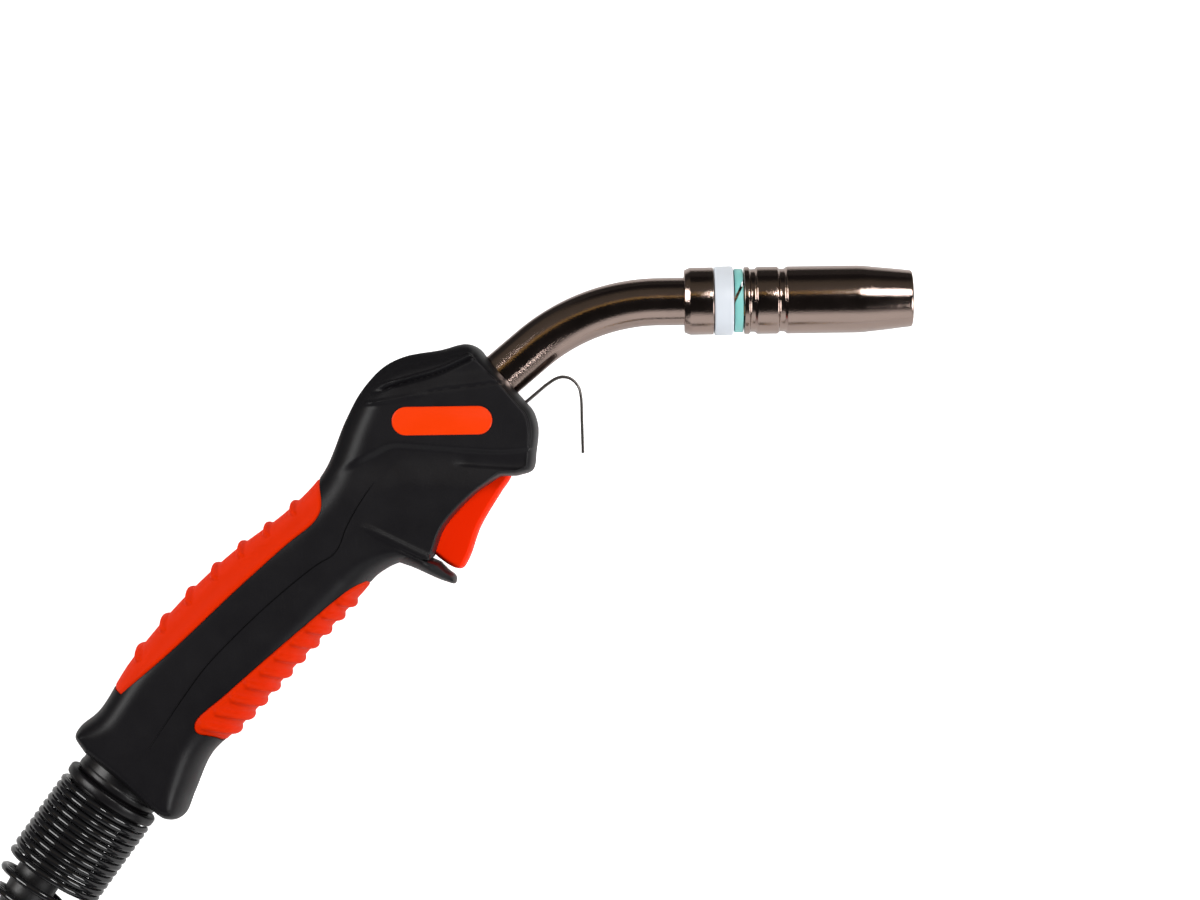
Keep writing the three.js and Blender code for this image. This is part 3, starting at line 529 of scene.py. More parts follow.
def plate(name: str, loop: Sequence[Point], low: float, high: float, edge: float = 0.0,
          segments: int = 3) -> bpy.types.Object:
    """A flat piece over a closed outline, with its outer edges rounded by `edge`."""
    mesh = bmesh.new()
    face = mesh.faces.new([mesh.verts.new((x, y, low)) for x, y in loop])
    grown = bmesh.ops.extrude_face_region(mesh, geom=[face])
    verts = [item for item in grown["geom"] if isinstance(item, bmesh.types.BMVert)]
    bmesh.ops.translate(mesh, vec=(0, 0, high - low), verts=verts)
    bmesh.ops.recalc_face_normals(mesh, faces=mesh.faces)
    if edge:
        rims = [e for e in mesh.edges if abs(e.verts[0].co.z - e.verts[1].co.z) < 1e-6]
        bmesh.ops.bevel(mesh, geom=rims, offset=edge, offset_type="OFFSET", segments=segments,
                        profile=0.5, affect="EDGES", clamp_overlap=True, material=-1)
    return piece_from(mesh, name)


# ---- rounded forms over outlines in the side view --------------------------------------------


def outline(*stretches: Sequence[Point]) -> np.ndarray:
    """A closed, counter-clockwise outline from smooth stretches that share their ends."""
    loop = np.concatenate([smooth_run(stretch, 0.3)[:-1] for stretch in stretches])
    x, y = loop[:, 0], loop[:, 1]
    area = np.sum(x * np.roll(y, -1) - y * np.roll(x, -1))
    return loop if area > 0 else loop[::-1].copy()


def ease(values: np.ndarray) -> np.ndarray:
    """A smooth step from 0 to 1 over values from 0 to 1."""
    t = np.clip(values, 0.0, 1.0)
    return t * t * (3 - 2 * t)


def unit(rows: np.ndarray) -> np.ndarray:
    """The rows scaled to length 1."""
    return rows / np.maximum(np.linalg.norm(rows, axis=1, keepdims=True), 1e-9)


class Trail:
    """A line in the side view that places are measured from.

    Attributes:
        points: closely spaced places on the line.
        left: direction to the left of travel at each place.
        gone: distance travelled at each place.
    """

    def __init__(self, points: np.ndarray, closed: bool = False) -> None:
        """Keeps the line's places and the directions at them."""
        ahead = np.roll(points, -1, axis=0) - points
        behind = points - np.roll(points, 1, axis=0)
        if not closed:
            ahead[-1], behind[0] = behind[-1], ahead[0]
        self.points = points
        self.tangent = unit(unit(ahead) + unit(behind))
        self.left = np.stack([-self.tangent[:, 1], self.tangent[:, 0]], axis=1)
        steps = np.linalg.norm(np.diff(points, axis=0), axis=1)
        self.gone = np.concatenate([[0.0], np.cumsum(steps)])
        self.tree = kdtree.KDTree(len(points))
        for i, (x, y) in enumerate(points):
            self.tree.insert((x, y, 0.0), i)
        self.tree.balance()

    def measure(self, places: np.ndarray) -> tuple[np.ndarray, np.ndarray]:
        """Signed distances from the line, positive on its left, and nearest points' numbers."""
        index = np.array([self.tree.find((x, y, 0.0))[1] for x, y in places])
        apart = places - self.points[index]
        across = np.sum(apart * self.left[index], axis=1)
        away = np.linalg.norm(apart, axis=1)
        return np.where(away < 0.6, across, np.sign(across) * away), index


def places_of(piece: bpy.types.Object) -> np.ndarray:
    """A piece's vertices in millimetres of the side view."""
    flat = np.empty(len(piece.data.vertices) * 3)
    piece.data.vertices.foreach_get("co", flat)
    return (flat.reshape(-1, 3) - np.array(TIP)) / MM


def move_to(piece: bpy.types.Object, places: np.ndarray) -> None:
    """Puts a piece's vertices at places in millimetres of the side view."""
    piece.data.vertices.foreach_set("co", (places * MM + np.array(TIP)).ravel())
    piece.data.update()


def normals_of(piece: bpy.types.Object) -> np.ndarray:
    """The outward direction at each vertex of a piece."""
    flat = np.empty(len(piece.data.vertices) * 3)
    piece.data.vertex_normals.foreach_get("vector", flat)
    return flat.reshape(-1, 3)


def relaxed(piece: bpy.types.Object, rounds: int, factor: float = 0.5) -> bpy.types.Object:
    """Smooths a piece's surface a little."""
    mesh = bmesh.new()
    mesh.from_mesh(piece.data)
    for _ in range(rounds):
        bmesh.ops.smooth_vert(mesh, verts=mesh.verts, factor=factor, use_axis_x=True,
                              use_axis_y=True, use_axis_z=True)
    mesh.to_mesh(piece.data)
    mesh.free()
    return piece


def shaded(piece: bpy.types.Object, smooth_deg: float = 35.0) -> bpy.types.Object:
    """Smooth shading that keeps edges sharper than an angle crisp."""
    mesh = bmesh.new()
    mesh.from_mesh(piece.data)
    limit = math.radians(smooth_deg)
    for face in mesh.faces:
        face.smooth = True
    for edge in mesh.edges:
        edge.smooth = len(edge.link_faces) != 2 or edge.calc_face_angle(0.0) < limit
    mesh.to_mesh(piece.data)
    mesh.free()
    return piece


@dataclass
class SideForm:
    """A form that is the same on both sides, over an outline, with rounded long edges.

    Attributes:
        loop: the outline in the middle plane.
        half: half the thickness.
        rounding: (x, y, reach) keys: how far in from the outline the edge begins to fall.
        fullness: 2 gives an elliptical edge, more gives a squarer one.
    """

    loop: np.ndarray
    half: float
    rounding: Sequence[Point]
    fullness: float = 2.3
    trail: Trail = field(init=False)
    reach: np.ndarray = field(init=False)

    def __post_init__(self) -> None:
        """Spreads the rounding keys along the outline."""
        self.trail = Trail(self.loop, closed=True)
        if len(self.rounding) == 1:
            self.reach = np.full(len(self.loop), self.rounding[0][2])
            return
        keys = sorted((int(np.argmin(np.hypot(self.loop[:, 0] - x, self.loop[:, 1] - y))), r)
                      for x, y, r in self.rounding)
        where = [k for k, _ in keys]
        self.reach = np.interp(np.arange(len(self.loop)), where, [r for _, r in keys],
                               period=len(self.loop))

    def solid(self, name: str, voxel: float, inset: float = 0.0,
              rounds: int = 4) -> bpy.types.Object:
        """The closed form, moved inwards by `inset` all round.

        Args:
            name: name of the piece.
            voxel: spacing of its vertices, in mm.
            inset: how far its surface lies inside the form's.
            rounds: rounds of smoothing.

        Returns:
            The piece.
        """
        piece = plate(name, self.loop, -self.half, self.half)
        modifier = piece.modifiers.new("even", "REMESH")
        modifier.mode = "VOXEL"
        modifier.voxel_size = voxel * MM
        modifier.use_smooth_shade = True
        applied(piece)
        places = places_of(piece)
        side, index = self.trail.measure(places[:, :2])
        reach = np.maximum(self.reach[index] - inset, 0.5)
        high = self.half - inset
        inside = np.maximum(side, 0.0)
        depth = self.half - np.abs(places[:, 2])
        on_top = depth <= inside
        gone = np.where(on_top, self.half + inside, np.abs(places[:, 2]))
        angle = np.clip(gone / (self.half + reach), 0.0, 1.0) * math.pi / 2
        power = 2 / self.fullness
        go_in = reach * (1 - np.maximum(np.cos(angle), 0.0) ** power)
        go_up = high * np.sin(angle) ** power
        apart = places[:, :2] - self.trail.points[index]
        slide = np.sum(apart * self.trail.tangent[index], axis=1, keepdims=True)
        near = (np.abs(slide) < 0.35)
        foot = self.trail.points[index] + np.where(near, slide, 0.0) * self.trail.tangent[index]
        inward = np.where((inside > 0.6)[:, None] & ~near, unit(apart), self.trail.left[index])
        flat = on_top & (inside >= reach + inset)
        moved = foot + inward * (inset + go_in)[:, None]
        places[:, :2] = np.where(flat[:, None], places[:, :2], moved)
        places[:, 2] = np.sign(places[:, 2]) * np.where(flat, high, go_up)
        move_to(piece, places)
        return relaxed(piece, rounds)


TRIGGER_EDGE = ((-162.8, -84.1), (-159.4, -75.6), (-149.6, -65), (-140.4, -58.6))
HANDLE_LOOP = outline(
    [(-144.1, -18.9), (-147, -15.2), (-151.4, -13.5), (-160.2, -15.4), (-172.7, -17.5),
     (-180.2, -21.2), (-187.6, -29.3), (-192.9, -38.9), (-200.8, -56.6), (-212.8, -69),
     (-232.5, -83.6), (-249.8, -99.6), (-267, -119.7), (-277.5, -135.7), (-283.9, -141.1),
     (-285.2, -144.2), (-281.9, -149.9)],
    [(-281.9, -149.9), (-259.7, -169.6)],
    [(-259.7, -169.6), (-255, -172.8), (-250.2, -172.4), (-246.4, -164.7), (-240.3, -151.6),
     (-230.4, -142.2), (-208.8, -119), (-188.4, -97.6), (-182.8, -91.4), (-174.3, -87.2),
     (-166.5, -88.2), TRIGGER_EDGE[0]],
    TRIGGER_EDGE,
    [TRIGGER_EDGE[-1], (-134.8, -58.5)],
    [(-134.8, -58.5), (-129.6, -56.6), (-128.3, -50.2), (-127.6, -42), (-129.2, -36.5),
     (-131.6, -33.5)],
    [(-131.6, -33.5), (-144.1, -18.9)],
)
FIN_LOOP = outline(
    [(-184, -76.4), (-178, -79.4), (-170, -83.6), (-161.4, -87.4)],
    [(-161.4, -87.4), (-159, -89.8), (-156.2, -92.2), (-156.4, -94.7), (-160, -93.8),
     (-170.3, -89.1), (-174.5, -87.6), (-179, -86), (-184, -84.6)],
    [(-184, -84.6), (-184, -76.4)],
)
UPPER_GRIP_LOOP = outline(
    [(-201.8, -50), (-201.6, -58), (-200.3, -68), (-202.4, -72.6), (-212.1, -80.5),
     (-229.3, -95.6), (-250.8, -115.3), (-268.5, -129.9)],
    [(-268.5, -129.9), (-290, -118)],
    [(-290, -118), (-240, -50), (-201.8, -50)],
)
LOWER_GRIP_LOOP = outline(
    [(-186, -93), (-191, -95.3), (-207.4, -108.2), (-233.2, -130), (-243.6, -139.4),
     (-243.2, -142.8), (-236.6, -145.4), (-234.2, -150)],
    [(-234.2, -150), (-215, -152)],
    [(-215, -152), (-176, -104)],
    [(-176, -104), (-186, -93)],
)
TRIGGER_PIVOT = (-140.2, -53.4)


def trigger_loop(grow: float = 0.0) -> np.ndarray:
    """The trigger's outline, moved outwards by `grow`."""
    px, py = TRIGGER_PIVOT
    arc = [(px + 3.6 * math.cos(a), py + 3.6 * math.sin(a)) for a in np.linspace(0, math.pi, 16)]
    loop = outline(
        arc,
        [arc[-1], (-146.6, -58.4), (-150.5, -62.4), (-156.5, -69.5), (-163.4, -77.4),
         (-165.2, -82.4), (-162.1, -85.8)],
        [(-162.1, -85.8), (-159, -88.1), (-156.2, -89.5), (-153.9, -89.6), (-151.4, -85.9),
         (-147.5, -75.5), (-140.5, -64), (-137, -58.6), arc[0]],
    )
    return loop - Trail(loop, closed=True).left * grow


# ---- reliefs of the handle -------------------------------------------------------------------


@dataclass(frozen=True)
class Relief:
    """A step, groove or rib along a line on the handle's side.

    Attributes:
        line: the line's places.
        height: how far the surface moves out, negative for in.
        width: width of the step, or half the width of a groove or rib.
        step: whether all of the left side moves, or only the line.
        fade: (start, end) lengths over which it fades in and out.
        offset: moves the line to its left.
        slope: width of the step at the line's end, when it differs.
        reach: how far from the line a step goes before it comes back, 0 for never.
    """

    line: Sequence[Point]
    height: float
    width: float
    step: bool = False
    fade: Point = (4.0, 4.0)
    offset: float = 0.0
    slope: float = 0.0
    reach: float = 0.0

    def rise(self, places: np.ndarray) -> np.ndarray:
        """How far the relief moves the surface at each place."""
        trail = Trail(smooth_run(self.line, 0.25))
        side, index = trail.measure(places)
        side = side - self.offset
        share = trail.gone[index] / trail.gone[-1]
        width = self.width + (self.slope - self.width) * share if self.slope else self.width
        if self.step:
            shape = ease(side / width + 0.5)
            if self.reach:
                shape = shape * (1 - ease((side - width) / self.reach))
        else:
            shape = np.clip(1 - (side / width) ** 2, 0.0, 1.0) ** 1.5
        start = ease(trail.gone[index] / max(self.fade[0], 0.01)) if self.fade[0] else 1.0
        end = ease((trail.gone[-1] - trail.gone[index]) / self.fade[1]) if self.fade[1] else 1.0
        past = np.linalg.norm(places - trail.points[index], axis=1)
        beyond = (past > np.abs(side + self.offset) + 0.6) if not self.step else False
        return self.height * shape * start * end * np.where(beyond, 0.0, 1.0)


C1_LINE = ((-185, -29), (-179.6, -27.4), (-170.6, -25.3), (-160.3, -22.5), (-149, -17.5))
C3_LINE = ((-186.5, -34), (-184.3, -33.6), (-175.2, -32.2), (-159.9, -29.1), (-149.6, -28.1),
           (-138.9, -26.6), (-134, -26))
SWOOSH = ((-167, -51.2), (-172, -51.3), (-174.9, -52.2), (-180.1, -57.2), (-184.7, -62.8),
          (-188.8, -69), (-192.2, -75.2), (-194.6, -81.3), (-196.9, -84.2), (-202, -87.2),
          (-210.6, -93.7), (-220.1, -101.7), (-230.4, -111.3), (-239.8, -121), (-247.7, -131.5),
          (-255.5, -142.9), (-259, -148))
PANEL_STEP = ((-118, -49.2), (-128.7, -49.6), (-139.2, -50.3), (-156.2, -49.3), (-167.5, -48.3),
              (-176.6, -47.9), (-182.3, -50.4), (-190, -54), (-200, -59))

FRONT_EDGE = ((-151, -16.4), (-146.4, -20.4), (-134.8, -33.6), (-131.4, -38), (-130.4, -43),
              (-130.6, -50))

HEAD_RELIEFS = (
    Relief(PANEL_STEP, -1.4, 1.3, step=True, fade=(0.0, 22.0), slope=3.0, reach=11.0),
    Relief(SWOOSH, -0.2, 2.6, step=True, fade=(10.0, 30.0), reach=9.0),
    Relief(C1_LINE, -1.1, 0.8, fade=(8.0, 1.0), offset=-1.0),
    Relief(C1_LINE, 0.7, 0.8, fade=(8.0, 1.0), offset=0.45),
    Relief(FRONT_EDGE, -0.6, 0.8, step=True, fade=(3.0, 2.0)),
    Relief(C3_LINE, -1.2, 6.0, step=True, fade=(6.0, 0.0), offset=2.6),
    Relief(C3_LINE[:4], 0.65, 0.9, fade=(2.0, 14.0)),
    Relief(C3_LINE[2:], -0.5, 0.55, fade=(14.0, 0.0)),
    Relief(((-188, -73.6), (-178, -78.8), (-160, -87.8)), 1.3, 1.3, fade=(8.0, 0.0)),
    Relief(((-157, -54.3), (-139, -55.8), (-126, -56.5)), -0.6, 0.8, step=True, fade=(6.0, 0.0),
           reach=5.0),
)


@dataclass
class Handle:
    """The handle: two hollow shells, two soft grips on each, badges, and the finger fin.

    Attributes:
        rounding: (x, y, reach) keys of the rounding round the outline.
        voxel: spacing of the skin's vertices.
        wall: thickness of the shells' wall.
        pad: thickness of the soft grips.
        gap: half the gap between the sides, and the gap round a grip.
        most_proud: how far a rib may stand out beyond the flat sides.
        form: the handle's form.
    """

    rounding: Sequence[Point] = (
        (-144, -19, 3), (-151.4, -13.5, 5), (-172.7, -17.5, 9), (-192.9, -38.9, 12),
        (-212.8, -69, 14), (-249.8, -99.6, 14), (-277.5, -135.7, 10), (-284.5, -142, 4.5),
        (-285.2, -144.2, 4), (-281.9, -149.9, 4), (-270.8, -159.8, 5), (-259.7, -169.6, 4),
        (-252, -172.8, 4.5), (-246.4, -164.7, 9), (-230.4, -142.2, 13), (-188.4, -97.6, 12),
        (-174.3, -87.2, 5), (-162.8, -84.1, 1.6), (-149.6, -65, 1.6), (-134.8, -58.5, 1.8),
        (-128.5, -52, 2.4), (-128, -42, 3), (-131.6, -33.5, 3))
    voxel: float = 0.52
    wall: float = 2.4
    pad: float = 1.6
    gap: float = 0.15
    most_proud: float = 0.5
    form: SideForm = field(init=False)

    def __post_init__(self) -> None:
        """Prepares the handle's form."""
        self.form = SideForm(HANDLE_LOOP, HALF, self.rounding, 2.5)

    def skin(self, reliefs: Callable[[np.ndarray], np.ndarray], name: str) -> bpy.types.Object:
        """The handle's whole outer form with its surface moved out by a relief.

        Args:
            reliefs: gives the rise at (x, y, z, slope) rows.
            name: name of the piece.

        Returns:
            The closed form.
        """
        piece = self.form.solid(name, self.voxel)
        places, normals = places_of(piece), normals_of(piece)
        rise = reliefs(np.column_stack([places, np.abs(normals[:, 2])]))
        places = places + normals * rise[:, None]
        over = np.maximum(np.abs(places[:, 2]) - HALF, 0.0)
        most = self.most_proud
        places[:, 2] -= np.sign(places[:, 2]) * (over - most * np.tanh(over / most))
        move_to(piece, places)
        return relaxed(piece, 1, 0.35)

    def head_rise(self, rows: np.ndarray) -> np.ndarray:
        """Rise of the shells' surface: creases, steps and ribs on the flat side."""
        total = sum(relief.rise(rows[:, :2]) for relief in HEAD_RELIEFS)
        return total * ease(rows[:, 3] * 2.6)

    def grip_rise(self, rows: np.ndarray) -> np.ndarray:
        """Rise of the soft grips: rounded border, nubs on the outer edge and finger ribs."""
        places = rows[:, :2]
        total = np.full(len(rows), -2.0)
        for loop in (UPPER_GRIP_LOOP, LOWER_GRIP_LOOP):
            inside = Trail(loop, closed=True).measure(places)[0]
            border = 0.12 - 0.55 * (1 - ease((inside - self.gap) / 1.1))
            total = np.where(inside > -0.5, border, total)
        for tips, away, radius, height, longs in (
                (NUBS, (0.08, -0.997), 1.4, 1.35, [3.4] * len(NUBS)),
                (RIBS, (-0.966, 0.259), 1.65, 1.35, [4.0 + 0.75 * n for n in range(len(RIBS))])):
            for tip, long in zip(tips, longs):
                apart = places - np.array(tip)
                forth = apart @ np.array(away)
                across = apart @ np.array((-away[1], away[0]))
                flank = np.hypot(across, np.maximum(forth - long, 0))
                total += height * np.clip(1 - (flank / radius) ** 2, 0, 1) * ease((forth + 6) / 3)
        hook = np.hypot(*(places - (-234.2, -147.2)).T)
        total += 0.5 * np.clip(1 - (hook / 1.4) ** 2, 0, 1)
        return total

    def side_slab(self, top: bool) -> bpy.types.Object:
        """A slab that holds one side of the middle plane."""
        low, high = ((self.gap, 60.0) if top else (-60.0, -self.gap))
        return slab("half_space", (-400, -300, low), (0, 100, high))

    def build(self) -> None:
        """Builds and dresses both sides."""
        bare = self.skin(self.head_rise, "bare_skin")
        soft = self.skin(self.grip_rise, "grip_skin")
        for top in (True, False):
            self.build_side(top, bare, soft)
            LOG.info("handle %s", "top" if top else "bottom")
        for used in (bare, soft):
            bpy.data.objects.remove(used)

    def copy_of(self, skin: bpy.types.Object, name: str) -> bpy.types.Object:
        """A copy of a skin with its own mesh."""
        piece = bpy.data.objects.new(name, skin.data.copy())
        bpy.context.scene.collection.objects.link(piece)
        return piece

    def build_side(self, top: bool, bare: bpy.types.Object, soft: bpy.types.Object) -> None:
        """Builds one shell with its grips and badge.

        Args:
            top: which side of the middle plane.
            bare: the handle's outer form with the head's reliefs.
            soft: the outer form with the grips' reliefs.
        """
        end = "top" if top else "bottom"
        shell = self.copy_of(bare, f"shell_{end}")
        fin = self.fin()
        recess = [plate("recess", loop, -60, 60) for loop in (UPPER_GRIP_LOOP, LOWER_GRIP_LOOP)]
        for tool in recess:
            carve(tool, [(self.form.solid("under_pad", 1.2, self.pad + 0.3), Cut.AWAY)])
        trigger_way = plate("trigger_way", trigger_loop(0.5), -7.0, 7.0)
        swept_way = plate("swept_way", self.swung(trigger_loop(0.5), 6.3), -7.0, 7.0)
        middle_way = plate("middle_way", self.swung(trigger_loop(0.5), 3.0), -7.0, 7.0)
        carve(shell, [
            (fin, Cut.ADD),
            (self.swoosh_slot(top), Cut.AWAY),
            *((tool, Cut.AWAY) for tool in recess),
            (self.form.solid("inner", 1.3, self.pad + self.wall + 0.3), Cut.AWAY),
            (bar("mouth_way", LINE.on_rear(-30), LINE.on_rear(6), 15.2, 96), Cut.AWAY),
            (bar("flange_way", LINE.on_rear(-15.3), LINE.on_rear(-10.7), 16.8, 64), Cut.AWAY),
            (bar("neck_way", LINE.on_neck(-2), LINE.on_neck(30), 8.38, 64), Cut.AWAY),
            (trigger_way, Cut.AWAY), (middle_way, Cut.AWAY), (swept_way, Cut.AWAY),
            (HookStrip().solid("hook_way", 0.3), Cut.AWAY),
            (self.side_slab(top), Cut.KEEP),
        ])
        shaded(shell, 40.0)
        NYLON.dress(shell, "handle")
        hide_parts(f"handle_shell_{end}")
        for name, loop in (("upper_grip", UPPER_GRIP_LOOP), ("lower_grip", LOWER_GRIP_LOOP)):
            grown = loop + Trail(loop, closed=True).left * self.gap
            grip = self.copy_of(soft, f"{name}_pad_{end}")
            carve(grip, [(plate("area", grown, -60, 60), Cut.KEEP),
                         (self.form.solid("under", 1.2, self.pad), Cut.AWAY),
                         (self.side_slab(top), Cut.KEEP)])
            shaded(grip, 50.0)
            SOFT_GRIP.dress(grip, "handle")
            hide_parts(f"{name}_{end}")
        self.build_badge(top)

    def swoosh_slot(self, top: bool, half_wide: float = 0.2,
                    depth: float = 0.6) -> bpy.types.Object:
        """A tool for the thin line along the handle's flank, narrowing to its ends."""
        trail = Trail(smooth_run(SWOOSH, 0.8))
        narrow_in, narrow_out = 8.0, 25.0
        ends = np.minimum(trail.gone / narrow_in, (trail.gone[-1] - trail.gone) / narrow_out)
        half = half_wide * (0.25 + 0.75 * ease(ends))[:, None]
        loop = np.concatenate([trail.points - trail.left * half,
                               (trail.points + trail.left * half)[::-1]])
        low, high = (HALF - depth, HALF + 2.0) if top else (-HALF - 2.0, depth - HALF)
        return plate("swoosh_slot", loop, low, high)

    def fin(self) -> bpy.types.Object:
        """The finger fin below the trigger, thinner towards its tip."""
        keys = ((-184, -76.4, 1.2), (-161.4, -87.4, 1.3), (-156.2, -92.2, 1.8),
                (-156.4, -94.7, 1.8), (-160, -93.8, 2.4), (-170.3, -89.1, 5),
                (-174.5, -87.6, 7), (-184, -84.6, 7))
        piece = SideForm(FIN_LOOP, HALF, keys, 2.5).solid("fin", 0.5, rounds=2)
        places = places_of(piece)
        places[:, 2] *= 1.0 - 0.55 * ease((places[:, 0] + 167.0) / 12.0)
        move_to(piece, places)
        return piece

    def swung(self, loop: np.ndarray, degrees: float) -> np.ndarray:
        """A loop turned about the trigger's pivot, towards the handle."""
        a = -math.radians(degrees)
        turn = np.array(((math.cos(a), -math.sin(a)), (math.sin(a), math.cos(a))))
        return (loop - TRIGGER_PIVOT) @ turn.T + TRIGGER_PIVOT

    def build_badge(self, top: bool) -> None:
        """Builds one plain badge with a rounded rim."""
        x, y, radius, reach = -159.5, -39.6, 4.8, 12.05
        angles = np.linspace(math.pi / 2, 3 * math.pi / 2, 33)
        left = [(x - reach + radius * math.cos(a), y + radius * math.sin(a)) for a in angles]
        right = [(2 * x - px, 2 * y - py) for px, py in left]
        piece = plate(f"badge_plate_{'top' if top else 'bottom'}", left + right, HALF - 1.6,
                      HALF + 0.35, 0.4)
        if not top:
            mesh = bmesh.new()
            mesh.from_mesh(piece.data)
            flip = Matrix.Translation((0, 0, 2 * TIP.z)) @ Matrix.Scale(-1, 4, (0, 0, 1))
            bmesh.ops.transform(mesh, matrix=flip, verts=mesh.verts)
            bmesh.ops.reverse_faces(mesh, faces=mesh.faces)
            mesh.to_mesh(piece.data)
            mesh.free()
        BADGE_PLASTIC.dress(piece, "handle")
        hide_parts(f"badge_{'top' if top else 'bottom'}")


NUBS = ((-210.6, -66.3), (-219.6, -73.4), (-228.4, -80.3), (-237.3, -87.6), (-246, -95.8),
        (-254.7, -104.9), (-263.2, -114.7))
RIBS = ((-190.7, -101), (-195.2, -105.4), (-199.7, -110.2), (-204.2, -114.7), (-208.8, -119.7),
        (-213.1, -124.7), (-217.4, -129.2), (-221.7, -134), (-226.1, -138.6), (-230.4, -143.2))


# ---- hook, trigger and neck ------------------------------------------------------------------


@dataclass
class HookStrip:
    """The bent steel strip that the torch hangs by."""

    half_thick: float = 0.48
    half_wide: float = 5.0

    def line(self) -> np.ndarray:
        """The strip's middle line."""
        root = [LINE.on_neck(26, 12.3)[:2], LINE.on_neck(4.5, 12.3)[:2]]
        bend = [root[-1], (-121.5, -25.7), (-119, -25.1), (-116, -26), (-113.8, -28.6),
                (-113, -32), (-112.8, -39.8), (-112.6, -51.1)]
        return np.concatenate([smooth_run(root, 0.7)[:-1], smooth_run(bend, 0.7)])

    def solid(self, name: str, grow: float = 0.0) -> bpy.types.Object:
        """The strip, grown by `grow` on each face."""
        trail = Trail(self.line())
        half = self.half_thick + grow
        loop = np.concatenate([trail.points + trail.left * half,
                               (trail.points - trail.left * half)[::-1]])
        wide = self.half_wide + grow
        return plate(name, loop, -wide, wide, 0.0 if grow else 0.25, 2)

    def build(self) -> None:
        """Builds and dresses the hook."""
        piece = self.solid("hanging_hook")
        HOOK_STEEL.dress(piece, "handle")
        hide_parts("hook")


@dataclass
class Trigger:
    """The trigger with its pin's way through it."""

    half_wide: float = 6.5

    def build(self) -> None:
        """Builds and dresses the trigger."""
        form = SideForm(trigger_loop(), self.half_wide, ((0, 0, 1.9),), 2.4)
        piece = form.solid("trigger_lever", 0.42, rounds=3)
        px, py = TRIGGER_PIVOT
        carve(piece, [
            (bar("pin_way", (px, py, -20), (px, py, 20), 1.8, 32), Cut.AWAY),
            (bar("spring_way", (px, py, -1.8), (px, py, 1.8), 4.6, 48), Cut.AWAY),
            (slab("leg_way", (-152, -60, -1.8), (-139, -52, 1.8)), Cut.AWAY),
        ])
        shaded(piece, 45.0)
        TRIGGER_PLASTIC.dress(piece, "trigger")
        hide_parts("trigger")


FORWARD = Vector((1.0, 0.0, 0.0))


